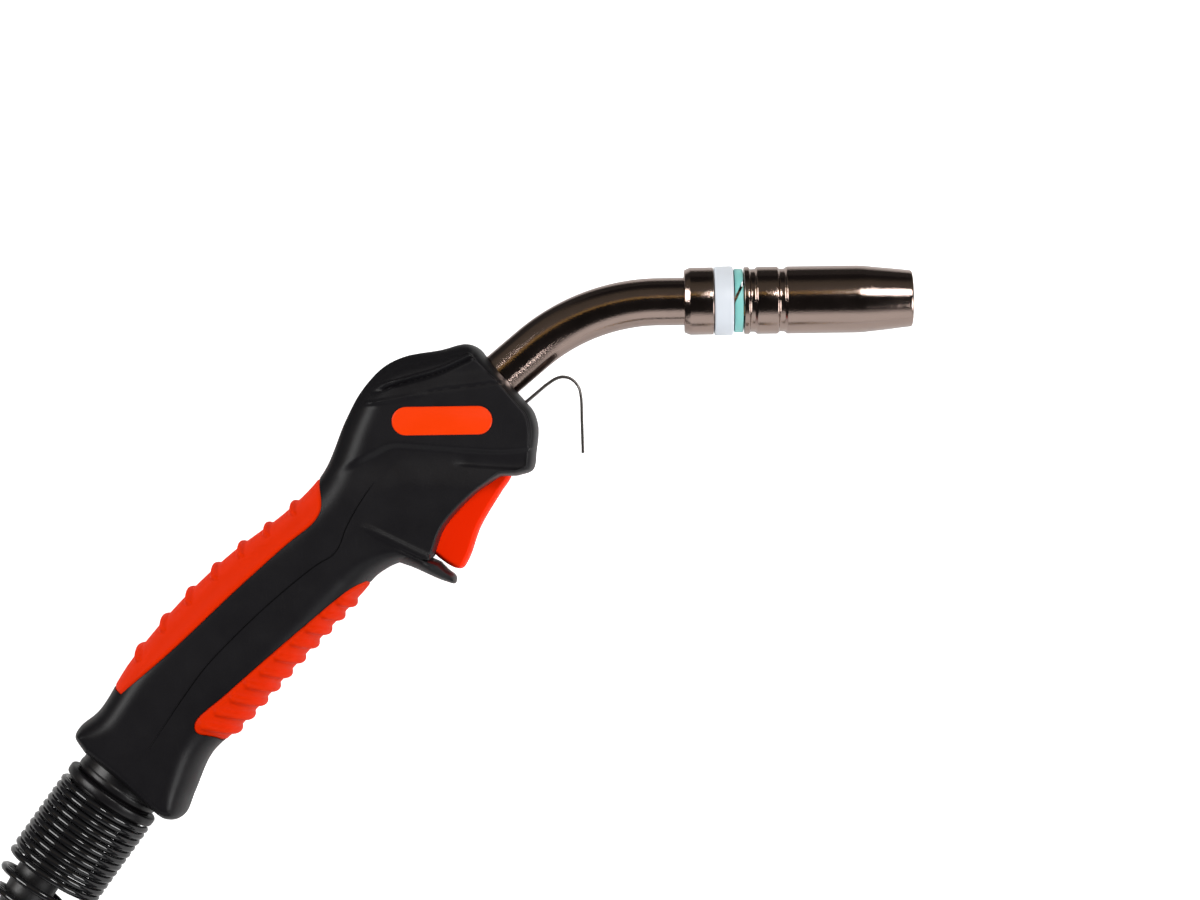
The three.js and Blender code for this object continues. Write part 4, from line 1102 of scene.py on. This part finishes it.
@dataclass
class Neck:
    """Swan neck, its collar and rings, and the gas nozzle."""

    tube_r: float = 8.08
    bore_r: float = 5.2
    front: float = -62.0
    tail: float = 30.0
    nozzle_r: float = 11.43
    groove_r: float = 10.68

    def build(self) -> None:
        """Builds and dresses the whole front end."""
        self.build_tube()
        on_neck = self.tube_r + 0.3
        collar = turned("neck_clamp_collar", rounded([
            (-77.5, on_neck), (-77.5, 10.6), (-75.5, 11.45), (-67.6, 11.45), (-67.6, on_neck)],
            0.3), (0, 0, 0), FORWARD, 128)
        NICKEL.dress(collar, "handle")
        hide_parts("neck_collar")
        white = turned("white_insulating_ring", rounded([
            (-67.3, on_neck), (-67.3, 11.75), (-60.9, 11.75), (-60.9, on_neck)], 0.6),
            (0, 0, 0), FORWARD, 128)
        CERAMIC.dress(white, "handle")
        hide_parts("insulator_ring")
        split = turned("mint_split_ring", rounded([
            (-60.6, on_neck), (-60.6, 10.8), (-57.6, 10.8), (-57.6, on_neck)], 0.4),
            (0, 0, 0), FORWARD, 128)
        slit = slab("slit", (-4.5, -0.45, -4.5), (4.5, 0.45, 4.5))
        slit.data.transform(Matrix.Translation(spot(-59, 3, 9.5)) @ Matrix.Rotation(
            math.radians(64), 4, "Z") @ Matrix.Translation(-TIP))
        carve(split, [(slit, Cut.AWAY)])
        MINT.dress(shaded(split), "handle")
        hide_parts("split_ring")
        self.build_nozzle()

    def build_tube(self) -> None:
        """The bent tube, swept from a ring round its line."""
        mesh = bmesh.new()
        place = Matrix.Translation((self.front, 0, 0)) @ Matrix.Rotation(math.pi / 2, 4, "Y")
        outer = bmesh.ops.create_circle(mesh, segments=96, radius=self.tube_r, matrix=place)
        inner = bmesh.ops.create_circle(mesh, segments=96, radius=self.bore_r, matrix=place)
        edges = {e for v in outer["verts"] + inner["verts"] for e in v.link_edges}
        bmesh.ops.bridge_loops(mesh, edges=list(edges))
        start = list(mesh.faces)
        grown = bmesh.ops.extrude_face_region(mesh, geom=start)["geom"]
        straight = LINE.bend_start - self.front
        bmesh.ops.translate(mesh, vec=(straight, 0, 0),
                            verts=[g for g in grown if isinstance(g, bmesh.types.BMVert)])
        ring = [g for g in grown if isinstance(g, bmesh.types.BMFace)]
        bent = bmesh.ops.spin(mesh, geom=ring, cent=(LINE.bend_start, -LINE.bend_radius, 0),
                              axis=(0, 0, 1), steps=36, angle=math.radians(LINE.bend_deg))
        ring = [g for g in bent["geom_last"] if isinstance(g, bmesh.types.BMFace)]
        grown = bmesh.ops.extrude_face_region(mesh, geom=ring)["geom"]
        bmesh.ops.delete(mesh, geom=[f for f in ring if f.is_valid], context="FACES_ONLY")
        a = math.radians(LINE.bend_deg)
        bmesh.ops.translate(mesh, vec=(-self.tail * math.cos(a), -self.tail * math.sin(a), 0),
                            verts=[g for g in grown if isinstance(g, bmesh.types.BMVert)])
        inside = [f for f in mesh.faces if all(len(e.link_faces) > 2 for e in f.edges)]
        bmesh.ops.delete(mesh, geom=inside, context="FACES_ONLY")
        piece = piece_from(mesh, "swan_neck_tube", 50.0)
        NICKEL.dress(piece, "handle")
        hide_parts("swan_neck")

    def build_nozzle(self) -> None:
        """The gas nozzle with its two grooves, tapered front and stepped bore."""
        r, g = self.nozzle_r, self.groove_r
        outside = [(0, 8.7), (-0.15, 9.4), (-0.7, 9.66), (-9, 10.55), (-16.4, 11.3), (-18.6, r),
                   (-42.7, r), (-43.5, g), (-45.2, g), (-45.8, r), (-52.8, r), (-53.6, g),
                   (-55.1, g), (-55.5, r), (-57.2, r)]
        inside = [(-57.2, 9.6), (-20.7, 9.6), (-8, 7.9), (0, 7.9)]
        piece = turned("gas_nozzle_body", rounded(outside + inside, 0.28), (0, 0, 0), FORWARD, 128,
                       50.0)
        NICKEL.dress(piece, "nozzle")
        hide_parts("gas_nozzle")


# ---- cable support ---------------------------------------------------------------------------


@dataclass
class CableSupport:
    """The swivelling sleeve in the handle's mouth, its collar and the bend spring."""

    wire_r: float = 1.25
    radius: float = 16.15
    end_radius: float = 11.0
    start: float = 9.4
    pitch: float = 2.61
    close_turns: float = 11.0
    open_turns: float = 4.0
    open_pitch: float = 7.2

    def build(self) -> None:
        """Builds and dresses the cable support."""
        sleeve = turned("mouth_sleeve", rounded([
            (-15, 8.7), (-15, 16.5), (-11, 16.5), (-11, 14.9), (1.2, 14.9), (1.8, 15.15),
            (3.2, 15.15), (3.8, 14.7), (4.3, 13.8), (12, 13.8), (12, 10.2), (9, 8.7)], 0.5),
            LINE.on_rear(0), LINE.rear_axis(), 128)
        SMOOTH_NYLON.dress(sleeve, "cable_support")
        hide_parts("support_sleeve")
        collar = turned("mouth_collar", rounded([
            (4.6, 14.2), (4.6, 17), (6.0, 17.15), (7.8, 16.9), (7.8, 14.2)], 0.7),
            LINE.on_rear(0), LINE.rear_axis(), 128)
        SMOOTH_NYLON.dress(collar, "cable_support")
        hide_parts("spring_collar")
        spring = swept("cable_bend_spring", self.wire(), self.wire_r, 12)
        BLACK_STEEL.dress(spring, "cable_support")
        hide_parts("bend_spring")
        LOG.info("cable support")

    def wire(self) -> np.ndarray:
        """Places along the spring's wire."""
        turns = np.arange(0, self.close_turns + self.open_turns + 1e-6, 1 / 56)
        opened = np.maximum(0.0, turns - self.close_turns)
        eased = opened - 0.5 * (1 - np.exp(-opened / 0.5))
        out = self.start + self.pitch * turns + (self.open_pitch - self.pitch) * eased
        radius = self.radius - (self.radius - self.end_radius) * (opened / self.open_turns) ** 1.9
        axis = np.array(LINE.rear_axis())
        across = np.cross((0.0, 0.0, 1.0), axis)
        third = np.cross(axis, across)
        angle = 2 * math.pi * turns
        return (np.array(LINE.on_rear(0)) + out[:, None] * axis
                + (radius * np.cos(angle))[:, None] * across
                + (radius * np.sin(angle))[:, None] * third)


# ---- cable, coil and plug --------------------------------------------------------------------


@dataclass
class Cable:
    """The whole cable: through the handle, out to its stored coil, and on to the central plug.

    Attributes:
        radius: radius of the jacket.
        lead: length from the mouth to the coil.
        coil_r: radius of the coil's outermost turn.
        inner_r: radius of its innermost turn.
        low: height of the lower layer above the surface.
        high: height of the upper layer.
        plug_deg: direction in which the cable leaves the coil.
        plug_height: height of the plug's axis.
    """

    radius: float = 8.0
    lead: float = 137.0
    coil_r: float = 112.0
    inner_r: float = 76.2
    low: float = 9.6
    high: float = 25.9
    plug_deg: float = 45.0
    plug_height: float = 23.6
    pieces: list = field(default_factory=list)

    def centre(self) -> np.ndarray:
        """The coil's middle."""
        entry, side = LINE.on_rear(self.lead), LINE.on_rear(0, 1.0)
        mouth = LINE.on_rear(0)
        return np.array((entry[0] - (side[0] - mouth[0]) * self.coil_r,
                         entry[1] - (side[1] - mouth[1]) * self.coil_r))

    def on_plug(self, out: float, side: float = 0.0, up: float = 0.0) -> Point:
        """A point along the plug's axis, counted from where the cable leaves the coil."""
        a = math.radians(self.plug_deg)
        cx, cy = self.centre()
        return (cx + self.coil_r * math.sin(a) + math.cos(a) * out + math.sin(a) * side,
                cy - self.coil_r * math.cos(a) + math.sin(a) * out - math.cos(a) * side,
                self.plug_height - HALF + up)

    def plug_axis(self) -> Vector:
        """Direction in which the plug points."""
        a = math.radians(self.plug_deg)
        return Vector((math.cos(a), math.sin(a), 0))

    def lead_points(self) -> list[Point]:
        """Places from the neck's connector to just before the coil, heights above the surface."""
        return [(*LINE.on_neck(62.3)[:2], 20), (-188, -64.6, 20), (-196.5, -72.4, 20),
                (-205, -80.5, 20), (-214.5, -90.6, 20), (-224, -101, 20), (-233.5, -112, 20),
                (-243, -123.5, 20), (-251, -133.2, 20), (-258.1, -142.6, 20),
                (*LINE.on_rear(0)[:2], 20), (-276.7, -167.7, 20), (-286.5, -178, 20),
                (-297.7, -189.6, 20), (-304.2, -199.6, 20), (-309.5, -210.8, 20),
                (-314.8, -219.2, 19.7), (-324.4, -232.1, 17.2), (-333.9, -245, 12.8),
                (-342.8, -257, 10.2)]

    def coil_points(self) -> list[Point]:
        """Places round the coil: in on the lower layer, up, and out on the upper layer."""
        a = math.radians(LINE.rear_deg)
        start = math.degrees(math.atan2(math.cos(a), -math.sin(a)))
        turns = (360.0 - start + (self.plug_deg - 90.0) + 4 * 360.0) / 360.0
        layer = 0.5 * (turns - 0.28)
        cx, cy = self.centre()
        places = []
        for t in np.linspace(0.0, turns, int(turns * 18) + 1):
            climb = float(ease(np.array((t - layer) / (turns - 2 * layer))))
            if t <= layer:
                radius = self.coil_r + (self.inner_r - self.coil_r) * t / layer
            else:
                radius = self.inner_r
            if t > turns - layer:
                radius += (self.coil_r - self.inner_r) * (t - turns + layer) / layer
            angle = math.radians(start + 360.0 * t)
            places.append((cx + radius * math.cos(angle), cy + radius * math.sin(angle),
                           self.low + (self.high - self.low) * climb))
        return places

    def build(self) -> None:
        tail = [self.on_plug(d) for d in (22, 42, 62, 76, 90.5)]
        heights = (25.4, 24.7, 24.2, 23.8, self.plug_height)
        points = self.lead_points() + self.coil_points()
        points += [(x, y, z) for (x, y, _), z in zip(tail, heights)]
        curve = bpy.data.curves.new("welding_cable", "CURVE")
        curve.dimensions = "3D"
        curve.bevel_depth = self.radius * MM
        curve.bevel_resolution = 5
        curve.resolution_u = 10
        curve.use_fill_caps = True
        spline = curve.splines.new("BEZIER")
        spline.bezier_points.add(len(points) - 1)
        for knot, (x, y, z) in zip(spline.bezier_points, points):
            knot.co = spot(x, y, z - HALF)
            knot.handle_left_type = knot.handle_right_type = "AUTO"
        cable = bpy.data.objects.new("welding_cable", curve)
        bpy.context.scene.collection.objects.link(cable)
        curve.materials.append(RUBBER.material())
        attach(cable, "handle")
        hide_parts("cable", "cable_coil", "cable_end")
        self.build_ties()
        self.build_plug()
        LOG.info("cable")

    def keep(self, piece: bpy.types.Object, finish: Finish, node: str,
             body: str = "handle") -> None:
        """Dresses a piece on the cable and adds it to the cable's list of pieces."""
        finish.dress(piece, body)
        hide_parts(node)
        self.pieces.append(piece)

    def build_ties(self) -> None:
        """Two flat ties round the coil's turns, each with its lock."""
        cx, cy = self.centre()
        low, high = -19.0, 14.9
        ties = ((60.0, 72.6, 109.2), (210.0, 67.0, 118.2))
        half_wide, thick, corner = 3.0, 0.9, 8.0
        for number, (degrees, near, far) in enumerate(ties, start=1):
            loop = rounded([(near, low), (far, low), (far, high), (near, high)], corner, 8)
            mesh = bmesh.new()
            verts = [mesh.verts.new((r, -half_wide, z)) for r, z in loop]
            edges = [mesh.edges.new((a, b)) for a, b in zip(verts, verts[1:] + verts[:1])]
            grown = bmesh.ops.extrude_edge_only(mesh, edges=edges)["geom"]
            bmesh.ops.translate(mesh, vec=(0, 2 * half_wide, 0),
                                verts=[g for g in grown if isinstance(g, bmesh.types.BMVert)])
            bmesh.ops.recalc_face_normals(mesh, faces=mesh.faces)
            bmesh.ops.solidify(mesh, geom=mesh.faces[:], thickness=-thick)
            lock = bmesh.ops.create_cube(mesh, size=1.0, matrix=Matrix.Translation(
                ((near + far) / 2, 0, high + 0.2)) @ Matrix.Diagonal((9.0, 8.0, 2.6, 1.0)))
            rims = {e for v in lock["verts"] for e in v.link_edges}
            bmesh.ops.bevel(mesh, geom=list(rims), offset=0.6, offset_type="OFFSET", segments=2,
                            profile=0.5, affect="EDGES", clamp_overlap=True, material=-1)
            bmesh.ops.transform(mesh, matrix=Matrix.Translation((cx, cy, 0)) @ Matrix.Rotation(
                math.radians(degrees), 4, "Z"), verts=mesh.verts)
            self.keep(piece_from(mesh, f"coil_tie_{number}"), SMOOTH_NYLON, f"cable_tie_{number}")

    def plug_piece(self, name: str, profile: Sequence[Point], soft: float = 0.4,
                   steps: int = 96) -> bpy.types.Object:
        """A turned piece on the plug's axis."""
        return turned(name, rounded(profile, soft), self.on_plug(0), self.plug_axis(), steps)

    def build_plug(self) -> None:
        """The central plug: strain relief, housing, ring nut, nose, pins and seal."""
        ribs: list[Point] = [(90, 8.0), (90, 10.2)]
        for k in range(9):
            start, r = 93.5 + 4.0 * k, 10.5 + 0.36 * k
            ribs += [(start, r), (start + 0.5, r - 1.5), (start + 1.7, r - 1.5),
                     (start + 2.2, r + 0.1)]
        ribs += [(131.7, 14.2), (131.7, 8.0)]
        self.keep(self.plug_piece("plug_ribbed_relief", ribs, 0.35), RUBBER, "plug_strain_relief")
        housing = [(132, 0), (132, 16), (134, 17.5), (144, 19.3), (146, 19.5)]
        for k in range(4):
            housing += [(148 + 4 * k, 19.5), (148.6 + 4 * k, 18.7), (149.8 + 4 * k, 18.7),
                        (150.4 + 4 * k, 19.5)]
        housing += [(166, 19.5), (170, 21.4), (179.7, 21.5), (179.7, 0)]
        body = self.plug_piece("plug_housing", housing, 0.3)
        self.keep(body, SMOOTH_NYLON, "plug_body")
        nut = self.plug_piece("plug_ring_nut", [
            (180, 15.6), (180, 22.8), (203, 22.8), (203, 15.6)], 1.2, 120)
        self.flute(nut)
        self.keep(nut, SMOOTH_NYLON, "plug_nut", "plug_nut")
        nose = self.plug_piece("plug_brass_nose", [
            (180, 0), (180, 15), (196, 15), (196.6, 14.4), (198, 14.4), (198.6, 15), (211, 15),
            (211, 0)], 0.5)
        pin_sides = (-9.5, 9.5)
        for side in pin_sides:
            carve(nose, [(bar("pin_way", self.on_plug(201.5, side), self.on_plug(213, side), 1.6),
                          Cut.AWAY)])
        self.keep(shaded(nose), BRASS, "plug_nose")
        gas = self.plug_piece("plug_gas_tube", [
            (211.3, 1.6), (211.3, 4.8), (222, 4.8), (222, 3.6), (224.4, 3.6), (224.4, 4.8),
            (229, 4.6), (229, 1.6)], 0.4, 64)
        self.keep(gas, BRASS, "plug_gas_pin")
        seal = self.plug_piece("plug_seal", [
            (222.3, 3.95), (222.3, 5.1), (224.1, 5.1), (224.1, 3.95)], 0.55, 64)
        self.keep(seal, RUBBER, "plug_o_ring")
        for number, side in enumerate(pin_sides, start=1):
            pin = turned(f"control_contact_{number}", rounded([
                (205, 0), (205, 1.3), (217, 1.3), (217, 0)], 0.6), self.on_plug(0, side),
                self.plug_axis(), 32)
            self.keep(pin, BRASS, f"control_pin_{number}", f"control_pin_{number}")

    def flute(self, nut: bpy.types.Object, count: int = 30, depth: float = 0.7) -> None:
        """Cuts grip flutes round the nut's outside."""
        places = places_of(nut)
        origin = np.array(self.on_plug(0))
        a = math.radians(self.plug_deg)
        axis = np.array((math.cos(a), math.sin(a), 0))
        across = np.array((math.sin(a), -math.cos(a), 0))
        apart = places - origin
        out, side, up = apart @ axis, apart @ across, apart[:, 2]
        radius = np.hypot(side, up)
        wave = 0.5 - 0.5 * np.cos(np.arctan2(up, side) * count)
        ends = ease((out - 181.5) / 1.5) * ease((201.5 - out) / 1.5)
        cut = depth * (1 - wave) ** 2 * (radius > 20) * ends
        scale = 1 - cut / np.maximum(radius, 1.0)
        moved = out[:, None] * axis + (side * scale)[:, None] * across
        moved[:, 2] = up * scale
        move_to(nut, origin + moved)


# ---- pieces kept from the frame, floor, light and camera -------------------------------------


def dress_kept_nodes() -> None:
    """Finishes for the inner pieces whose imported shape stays."""
    ZINC.coat_node("handle_screw_1", "handle_screw_2", "handle_screw_3", "handle_screw_4",
                   "trigger_pin", "trigger_spring", "nozzle_spring")
    BRASS.coat_node("neck_connector", "cable_nut", "tip_holder", "switch_terminal_1",
                    "switch_terminal_2")
    COPPER.coat_node("neck_inner_tube", "contact_tip")
    CERAMIC.coat_node("gas_diffuser")
    LINER.coat_node("wire_liner")
    SMOOTH_NYLON.coat_node("microswitch_body")
    TRIGGER_PLASTIC.coat_node("switch_plunger")
    RED_WIRE.coat_node("control_wire_1")
    RUBBER.coat_node("control_wire_2")
    LOG.info("kept pieces")


@dataclass
class Studio:
    """Floor, soft light and camera."""

    lens: float = 106.0
    distance: float = 1.2013
    aim: Point = (-106.79, -50.13)
    roll_deg: float = -0.8

    def build(self) -> None:
        """Builds the studio."""
        self.build_floor()
        self.build_sky()
        self.build_lights()
        self.build_camera()
        bpy.context.scene.view_settings.view_transform = "Standard"
        LOG.info("studio")

    def build_floor(self) -> None:
        """A plain pale floor."""
        mesh = bmesh.new()
        bmesh.ops.create_grid(mesh, x_segments=1, y_segments=1, size=4.0)
        data = bpy.data.meshes.new("floor")
        mesh.to_mesh(data)
        mesh.free()
        floor = bpy.data.objects.new("floor", data)
        bpy.context.scene.collection.objects.link(floor)
        data.materials.append(self.floor_material())

    def floor_material(self) -> bpy.types.Material:
        """White card that glows a little, dimmer in reflections and darkest behind the torch."""
        material = bpy.data.materials.new("pale_floor")
        material.use_nodes = True
        nodes, links = material.node_tree.nodes, material.node_tree.links
        shader = nodes["Principled BSDF"]
        shader.inputs["Roughness"].default_value = 0.9
        shader.inputs["Specular IOR Level"].default_value = 0.0
        shader.inputs["Emission Color"].default_value = (1.0, 1.0, 1.0, 1.0)

        def math_node(operation: str, first: object, second: object) -> object:
            """A math node on two values or outputs."""
            node = nodes.new("ShaderNodeMath")
            node.operation = operation
            for socket, value in zip(node.inputs, (first, second)):
                if isinstance(value, float):
                    socket.default_value = value
                else:
                    links.new(value, socket)
            return node.outputs[0]

        split = nodes.new("ShaderNodeSeparateXYZ")
        links.new(nodes.new("ShaderNodeTexCoord").outputs["Object"], split.inputs["Vector"])
        rays = nodes.new("ShaderNodeLightPath")
        bend = math_node("MULTIPLY", math_node("SUBTRACT", split.outputs["X"], TIP.x - 0.1), 0.8)
        line = math_node("ADD", math_node("MINIMUM", bend, 0.0), TIP.y)
        past = math_node("SUBTRACT", split.outputs["Y"], line)
        behind = nodes.new("ShaderNodeMapRange")
        behind.inputs["From Min"].default_value = 0.034
        behind.inputs["From Max"].default_value = 0.052
        links.new(past, behind.inputs["Value"])
        dim_all, dim_behind = 0.4, 0.57
        depth = math_node("ADD", math_node("MULTIPLY", behind.outputs["Result"], dim_behind),
                          dim_all)
        keep = math_node("SUBTRACT", 1.0,
                         math_node("MULTIPLY", depth, rays.outputs["Is Glossy Ray"]))
        shade = nodes.new("ShaderNodeMix")
        shade.data_type = "RGBA"
        shade.inputs["A"].default_value = (0.0, 0.0, 0.0, 1.0)
        shade.inputs["B"].default_value = (0.9, 0.9, 0.9, 1.0)
        links.new(keep, shade.inputs["Factor"])
        links.new(shade.outputs["Result"], shader.inputs["Base Color"])
        glow = math_node("ADD", math_node("MULTIPLY", rays.outputs["Is Camera Ray"], 0.45), 0.4)
        links.new(math_node("MULTIPLY", glow, keep), shader.inputs["Emission Strength"])
        return material

    def build_sky(self) -> None:
        """A sky that is dark overhead, bright low down in front and dim behind."""
        world = bpy.data.worlds.new("soft_studio")
        bpy.context.scene.world = world
        world.use_nodes = True
        nodes, links = world.node_tree.nodes, world.node_tree.links
        place = nodes.new("ShaderNodeTexCoord")
        split = nodes.new("ShaderNodeSeparateXYZ")
        ramp = nodes.new("ShaderNodeValToRGB")
        gold = (0.75, 0.5, 0.15)
        stops = ((0.0, (1.0, 1.0, 1.0)), (0.09, (1.0, 1.0, 1.0)), (0.18, (0.02, 0.02, 0.02)),
                 (0.66, (0.01, 0.01, 0.01)), (0.675, gold), (0.695, gold),
                 (0.71, (0.15, 0.14, 0.12)), (0.93, (0.12, 0.11, 0.09)),
                 (0.97, (0.02, 0.02, 0.02)))
        elements = ramp.color_ramp.elements
        elements[0].position, elements[0].color = stops[0][0], (*stops[0][1], 1.0)
        elements[1].position, elements[1].color = stops[-1][0], (*stops[-1][1], 1.0)
        for position, colour in stops[1:-1]:
            elements.new(position).color = (*colour, 1.0)
        half = nodes.new("ShaderNodeMapRange")
        half.inputs["From Min"].default_value = -1.0
        links.new(place.outputs["Generated"], split.inputs["Vector"])
        links.new(split.outputs["Y"], half.inputs["Value"])
        links.new(half.outputs["Result"], ramp.inputs["Fac"])
        links.new(ramp.outputs["Color"], nodes["Background"].inputs["Color"])
        nodes["Background"].inputs["Strength"].default_value = 1.0

    def build_lights(self) -> None:
        """Soft boxes round the torch."""
        boxes = (
            ("left_box", (-1.15, 0.55, 0.95), 0.8, 18.5),
            ("right_box", (1.15, -0.45, 0.9), 0.8, 17.0),
            ("key_box", (0.62, 0.62, 1.3), 0.36, 8.5),
        )
        for name, place, size, power in boxes:
            light = bpy.data.lights.new(name, "AREA")
            light.shape = "SQUARE"
            light.size = size
            light.energy = power
            lamp = bpy.data.objects.new(name, light)
            bpy.context.scene.collection.objects.link(lamp)
            lamp.visible_camera = False
            lamp.location = place
            lamp.rotation_euler = (-Vector(place)).to_track_quat("-Z", "Y").to_euler()

    def build_camera(self) -> None:
        """A camera straight above the torch."""
        data = bpy.data.cameras.new("camera")
        data.lens = self.lens
        data.sensor_width = 36.0
        camera = bpy.data.objects.new("camera", data)
        bpy.context.scene.collection.objects.link(camera)
        x, y = self.aim
        camera.location = spot(x, y) + Vector((0, 0, self.distance))
        camera.rotation_euler = (0.0, 0.0, math.radians(self.roll_deg))
        bpy.context.scene.camera = camera


def main() -> None:
    """Builds the torch piece by piece."""
    logging.basicConfig(level=logging.INFO, format="%(name)s: %(message)s", force=True)
    Studio().build()
    Cable().build()
    CableSupport().build()
    Neck().build()
    LOG.info("neck and nozzle")
    HookStrip().build()
    Trigger().build()
    LOG.info("hook and trigger")
    Handle().build()
    dress_kept_nodes()


if __name__ == "__main__":
    main()
